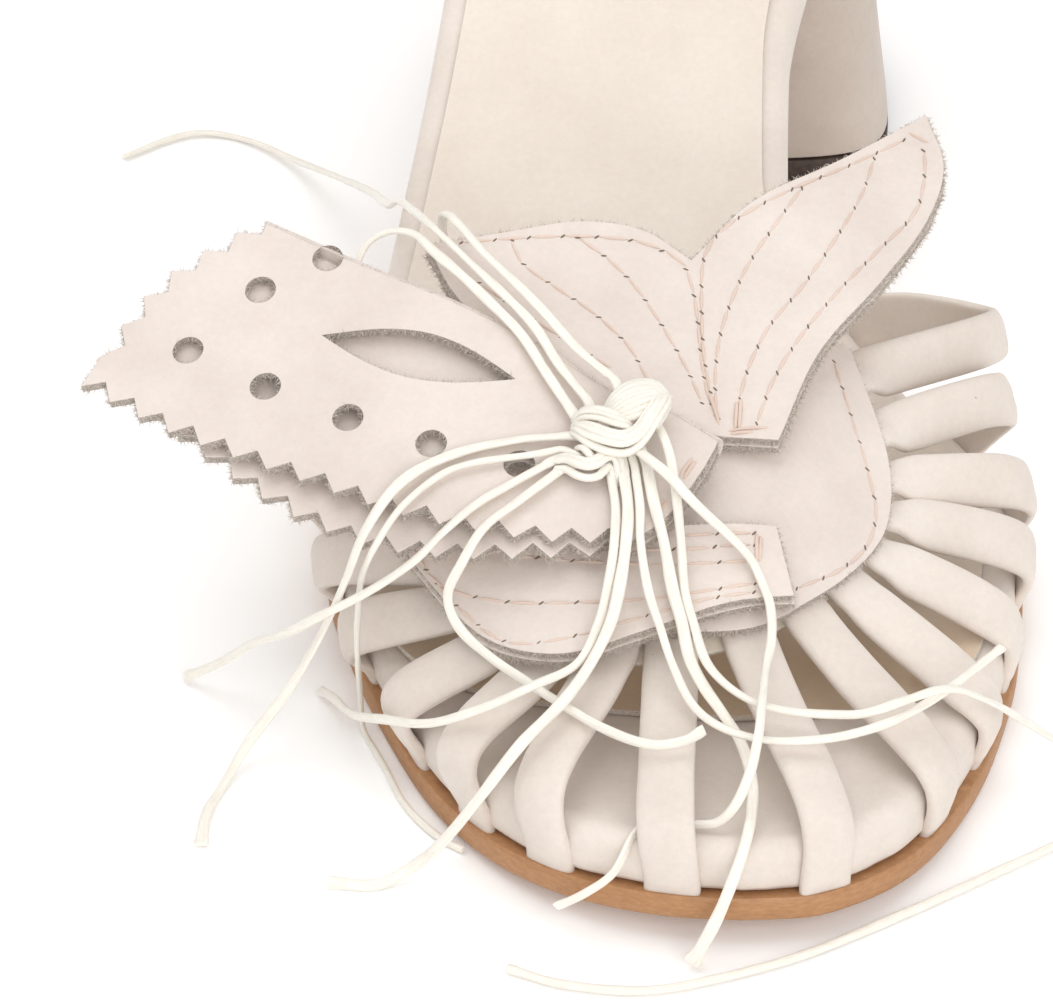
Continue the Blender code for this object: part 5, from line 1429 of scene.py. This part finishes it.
# %% Sewing
stitches = stitch_tree()
THREAD_RISE, THREAD_SHARE = 0.03 * MM, 1.75
SEWN = (
    ("patch_stitching", (PATCH_SEAM,), patch_top, 2.1),
    ("lower_fin_stitching", FIN_SEAMS, lower_fin_top, 2.2),
    ("tail_fin_stitching", TAIL_SEAMS, tail_top, 2.1),
)
for name, seams, height, half_pitch in SEWN:
    guide = seam_guide(name + "_guide", seams, height, 0.5 * MM, -TROUGH_DEPTH + THREAD_RISE)
    sewn = baked(guide, stitches, name, {
        "Half Pitch": half_pitch * MM, "Thread Length": half_pitch * THREAD_SHARE * MM, "Thread Finish": thread,
        "Hole Finish": shade})
    own(sewn, "waxed_cord")
    tell(name, sewn)

# %% Bars and hand stitches
LAID_STEPS, LAID_RISE, LAID_SINK = 12, 0.32 * MM, 0.22 * MM


def laid_stitch(start, end, height, key):
    """One thicker stitch of doubled thread from hole to hole, as a short ribbon that dips in at both ends."""
    a, b = (Vector((x, y, 0)) * MM for x, y in (start, end))
    line = []
    for k in range(LAID_STEPS + 1):
        t = k / LAID_STEPS
        p = a.lerp(b, t)
        rise = LAID_RISE * math.sin(math.pi * t) ** 0.5 - LAID_SINK
        line.append(Vector((p.x, p.y, height(p.x, p.y) + rise)))
    return ribbon(line, 0.46 * MM, 0.36 * MM, key)


parts = [laid_stitch(a, b, wing_z, 70 + k) for k, (a, b) in enumerate(HAND_STITCHES)]
parts += [laid_stitch(a, b, tail_top if b[1] > -20 else lower_fin_top, 80 + k)
          for k, (a, b) in enumerate(BAR_STITCHES)]
bars = own(ribbon_piece("bar_stitches", parts, thread), "waxed_cord")
tell("bar stitches", bars)

# %% [markdown]
# ## Fibres on the cut edges
#
# The hide's cut edges and hole rims are left raw, so short loose fibres stand off them.  A second tree scatters
# thin cones over the faces that have the raw finish, leaning each at random from the surface's normal.

# %% Fibre tree
FIBRE_DENSITY, FIBRE_LENGTH, FIBRE_RADIUS = 9 / MM ** 2, (0.35 * MM, 1.1 * MM), 0.065 * MM


def fibre_tree():
    group, enter = new_tree("edge_fibres", {
        "Density": FIBRE_DENSITY, "Shortest": FIBRE_LENGTH[0], "Longest": FIBRE_LENGTH[1], "Edge Finish": None,
        "Fibre Finish": None})
    raw = add(group, "GeometryNodeMaterialSelection", Material=enter["Edge Finish"]).outputs[0]
    spots = add(group, "GeometryNodeDistributePointsOnFaces", Mesh=enter["Geometry"], Selection=raw,
                Density=enter["Density"], Seed=11).outputs
    cone = add(group, "GeometryNodeMeshCone", Vertices=3, Radius_Bottom=FIBRE_RADIUS, Radius_Top=0.0,
               Depth=1.0).outputs["Mesh"]
    lean = add(group, "FunctionNodeRandomValue", {"data_type": "FLOAT_VECTOR"}, i0=(-1.0, -1.0, -3.0),
               i1=(1.0, 1.0, 3.0), Seed=12).outputs[0]
    length = add(group, "FunctionNodeRandomValue", {"data_type": "FLOAT"}, i2=enter["Shortest"],
                 i3=enter["Longest"], Seed=13).outputs[1]
    size = add(group, "ShaderNodeCombineXYZ", X=1.0, Y=1.0, Z=length).outputs[0]
    fuzz = set_out(group, spots["Points"], cone, turned_by(group, spots["Rotation"], lean), size,
                   enter["Fibre Finish"])
    add(group, "NodeGroupOutput", i0=fuzz)
    return group


# %% Fibres
fibres = fibre_tree()
FUZZY = ("vamp_patch_leather", "lower_fin_leather_upper", "lower_fin_leather_lower", "tail_fin_leather_upper",
         "tail_fin_leather_lower", "pinked_wing_top", "pinked_wing_under")
for name in FUZZY:
    sheet = bpy.data.objects[name].copy()
    sheet.data = sheet.data.copy()
    bpy.context.scene.collection.objects.link(sheet)
    fuzz = baked(sheet, fibres, name + "_fibres", {"Edge Finish": raw_edge, "Fibre Finish": pale_edge})
    own(fuzz, "pale_leather")
    print(name, "fibres:", len(fuzz.data.polygons) // 4)

# %% [markdown]
# ## The knot
#
# The cords meet in a knot that gathers the wing, the tail and the fin.  It is built of the same cord in bundles:
# each lies between two edge routes, with its strands spread evenly from one to the other.  The fan loops up and
# over to the right, its return crosses below as a wound band, and a looser tangle lies under it on the left.
# Short lead-in strands carry every loose cord into the knot.

# %% Knot routes
BUNDLES = (  # the fan, its return, the wound band, the block at the lower left and the tangle
    (8,
     ((-9.6, -20.6, 42.2), (-8.5, -19.3, 44.2), (-6.8, -17.9, 45.2), (-4.6, -17.4, 45.6), (-2.6, -17.8, 45.2),
      (-1.5, -18.9, 43.9), (-2, -21, 43.4), (-3.2, -23.2, 42.6)),
     ((-8.6, -22, 42), (-7.2, -22.4, 43.2), (-5.8, -22.6, 43.8), (-4.4, -22.2, 44.2), (-3.2, -21, 44.3),
      (-2.5, -20, 43.6), (-2.9, -21.2, 43), (-3.8, -22.8, 42))),
    (4,
     ((-1.4, -18.4, 44), (-1.9, -21.2, 44.4), (-3.1, -23.8, 43.8), (-4.6, -25.7, 42.4), (-6.6, -26.9, 41.5),
      (-9, -26.9, 41.5), (-11.2, -25.8, 41.8), (-12.8, -23.8, 41.8), (-13.4, -21.8, 41)),
     ((-2.8, -18.6, 44.4), (-3.2, -20.9, 44.9), (-4.3, -23, 44.4), (-5.6, -24.6, 43.4), (-7.2, -25.3, 43.1),
      (-9, -25, 43.3), (-10.8, -24, 43.4), (-12.2, -22.6, 42.8), (-12.9, -21.3, 41.6))),
    (4,
     ((-5.4, -23.4, 41.8), (-6.9, -24.2, 43.5), (-8.6, -24, 44.1), (-10.4, -23.1, 44), (-12.1, -21.9, 43.2),
      (-13.2, -21.1, 41.4)),
     ((-6.4, -21.6, 42), (-7.6, -22, 43.4), (-9.2, -21.7, 44.1), (-10.8, -20.9, 43.9), (-12.1, -20.2, 43),
      (-13, -19.8, 41.4))),
    (2,
     ((-12.8, -24.4, 40.4), (-12.2, -25.6, 41.3), (-11.4, -26.6, 41.1), (-10.6, -27, 40)),
     ((-11.6, -23.9, 40.8), (-10.9, -25, 41.8), (-10.2, -26, 41.5), (-9.7, -26.6, 40.2))),
    (3,
     ((-15.4, -25.2, 39.4), (-14, -25.8, 40.2), (-12.8, -27, 40.6), (-11.4, -27.7, 40.7), (-10.2, -27.2, 40.9),
      (-9.2, -26.5, 41), (-7.9, -26.3, 40.7), (-7.2, -27.3, 39.2), (-7.1, -28, 37.2)),
     ((-15.6, -26.9, 38.9), (-14.2, -27.5, 39.3), (-12.9, -28.8, 39.3), (-11.5, -29.3, 39.2), (-10.2, -29, 39.3),
      (-9.3, -28, 39.7), (-8.7, -27.5, 39.6), (-8.4, -28.2, 38.5), (-8.5, -28.8, 36.8))),
)
LEADS = (
    ("cord_back", -10.6, -21.4, 42.4), ("cord_wrap", -12, -21.8, 41.6), ("cord_lobe", -6.9, -19.8, 43.6),
    ("cord_far_left", -11.4, -23.2, 41.2), ("cord_side_left", -12.4, -26.2, 40.3),
    ("cord_near_left", -13.2, -25.4, 40), ("cord_loop", -12.4, -27, 39.9), ("cord_front_left", -7.6, -25.2, 40.6),
    ("cord_fork", -8.4, -25.6, 40.4), ("cord_right_rest", -6.4, -24.8, 40.8), ("cord_right_floor", -3.6, -19.6, 43),
    ("cord_toe", -5.2, -24.2, 41), ("cord_under_strap", -6.2, -23.4, 41.2),
)


# %% Knot strands
WEAVE, ARCH, STRAND_WIDTH, STRAND_THICK, LEAD_GROW = 0.07, 0.45 * MM, 1.1 * MM, 0.8 * MM, 1.04
LEAD_BACK, LEAD_ON, LEAD_HALF, LEAD_TURN = 0.8, 0.6, 0.55, 0.4


def strands_between(count, edge_a, edge_b, key):
    """Ribbons spread evenly between two edge routes, arched over the middle and never quite parallel."""
    pairs = list(zip(smooth_route(edge_a), smooth_route(edge_b)))
    made = []
    for k in range(count):
        share = k / (count - 1)
        line = []
        for i, (a, b) in enumerate(pairs):
            t = i / (len(pairs) - 1)
            weave = WEAVE * wander(key * 5 + k, t * 4)
            line.append(a.lerp(b, share + weave) + Vector((0, 0, ARCH * math.sin(math.pi * share) + weave * MM)))
        made.append(ribbon(even_points(line, STRAND_STEP), STRAND_WIDTH, STRAND_THICK, key * 10 + k))
    return made


def lead_in(name, target, key):
    """A strand from a loose cord's first stretch back into the knot."""
    first, second = (Vector(p) for p in CORD_ROUTES[name][:2])
    run = (first - second).normalized()
    line = smooth_route([first - run * LEAD_BACK, first + run * LEAD_ON,
                         first.lerp(target, LEAD_HALF) + run * LEAD_TURN, target])
    width = CORD_WIDTHS.get(name, CORD_WIDTH) * LEAD_GROW * MM
    return ribbon(even_points(line, STRAND_STEP), width, CORD_THICK * LEAD_GROW * MM, key)


parts = []
for key, (count, edge_a, edge_b) in enumerate(BUNDLES):
    parts += strands_between(count, edge_a, edge_b, 20 + key)
for key, (name, *target) in enumerate(LEADS):
    parts.append(lead_in(name, Vector(target), 300 + key))
knot = own(ribbon_piece("cord_knot", parts, waxed), "waxed_cord", "knot")
tell("knot", knot)

# %% [markdown]
# ## Floor and light
#
# A plain white floor that reaches far behind, a large soft box above and another in front, and an even pale sky.

# %% Floor and light
paper = new_finish("white_paper", 0.95, Base_Color=linear("#FCFCFC"), Emission_Color=(1.0, 1.0, 1.0, 1.0),
                   Emission_Strength=0.07)[0]
floor = mesh_piece("floor", [(-3, -2.5, 0), (3, -2.5, 0), (3, 6, 0), (-3, 6, 0)], [(0, 1, 2, 3)], [paper])


def soft_box(name, place, aim, size, watts):
    light = bpy.data.lights.new(name, "AREA")
    light.shape = "RECTANGLE"
    light.size, light.size_y = size
    light.energy = watts
    lamp = in_scene(name, light)
    lamp.location = place
    lamp.rotation_euler = (Vector(aim) - Vector(place)).to_track_quat("-Z", "Y").to_euler()


soft_box("top_box", (-0.20, 0.10, 1.1), (0, 0, 0.02), (1.0, 1.0), 4.6)
soft_box("front_box", (0.35, -1.1, 0.7), (0, 0, 0.03), (1.0, 0.8), 6.8)
world = bpy.data.worlds.new("studio")
world.use_nodes = True
sky = world.node_tree.nodes["Background"].inputs
sky["Color"].default_value = (1.0, 0.99, 0.98, 1.0)
sky["Strength"].default_value = 0.74
bpy.context.scene.world = world
bpy.context.scene.view_settings.view_transform = "Standard"
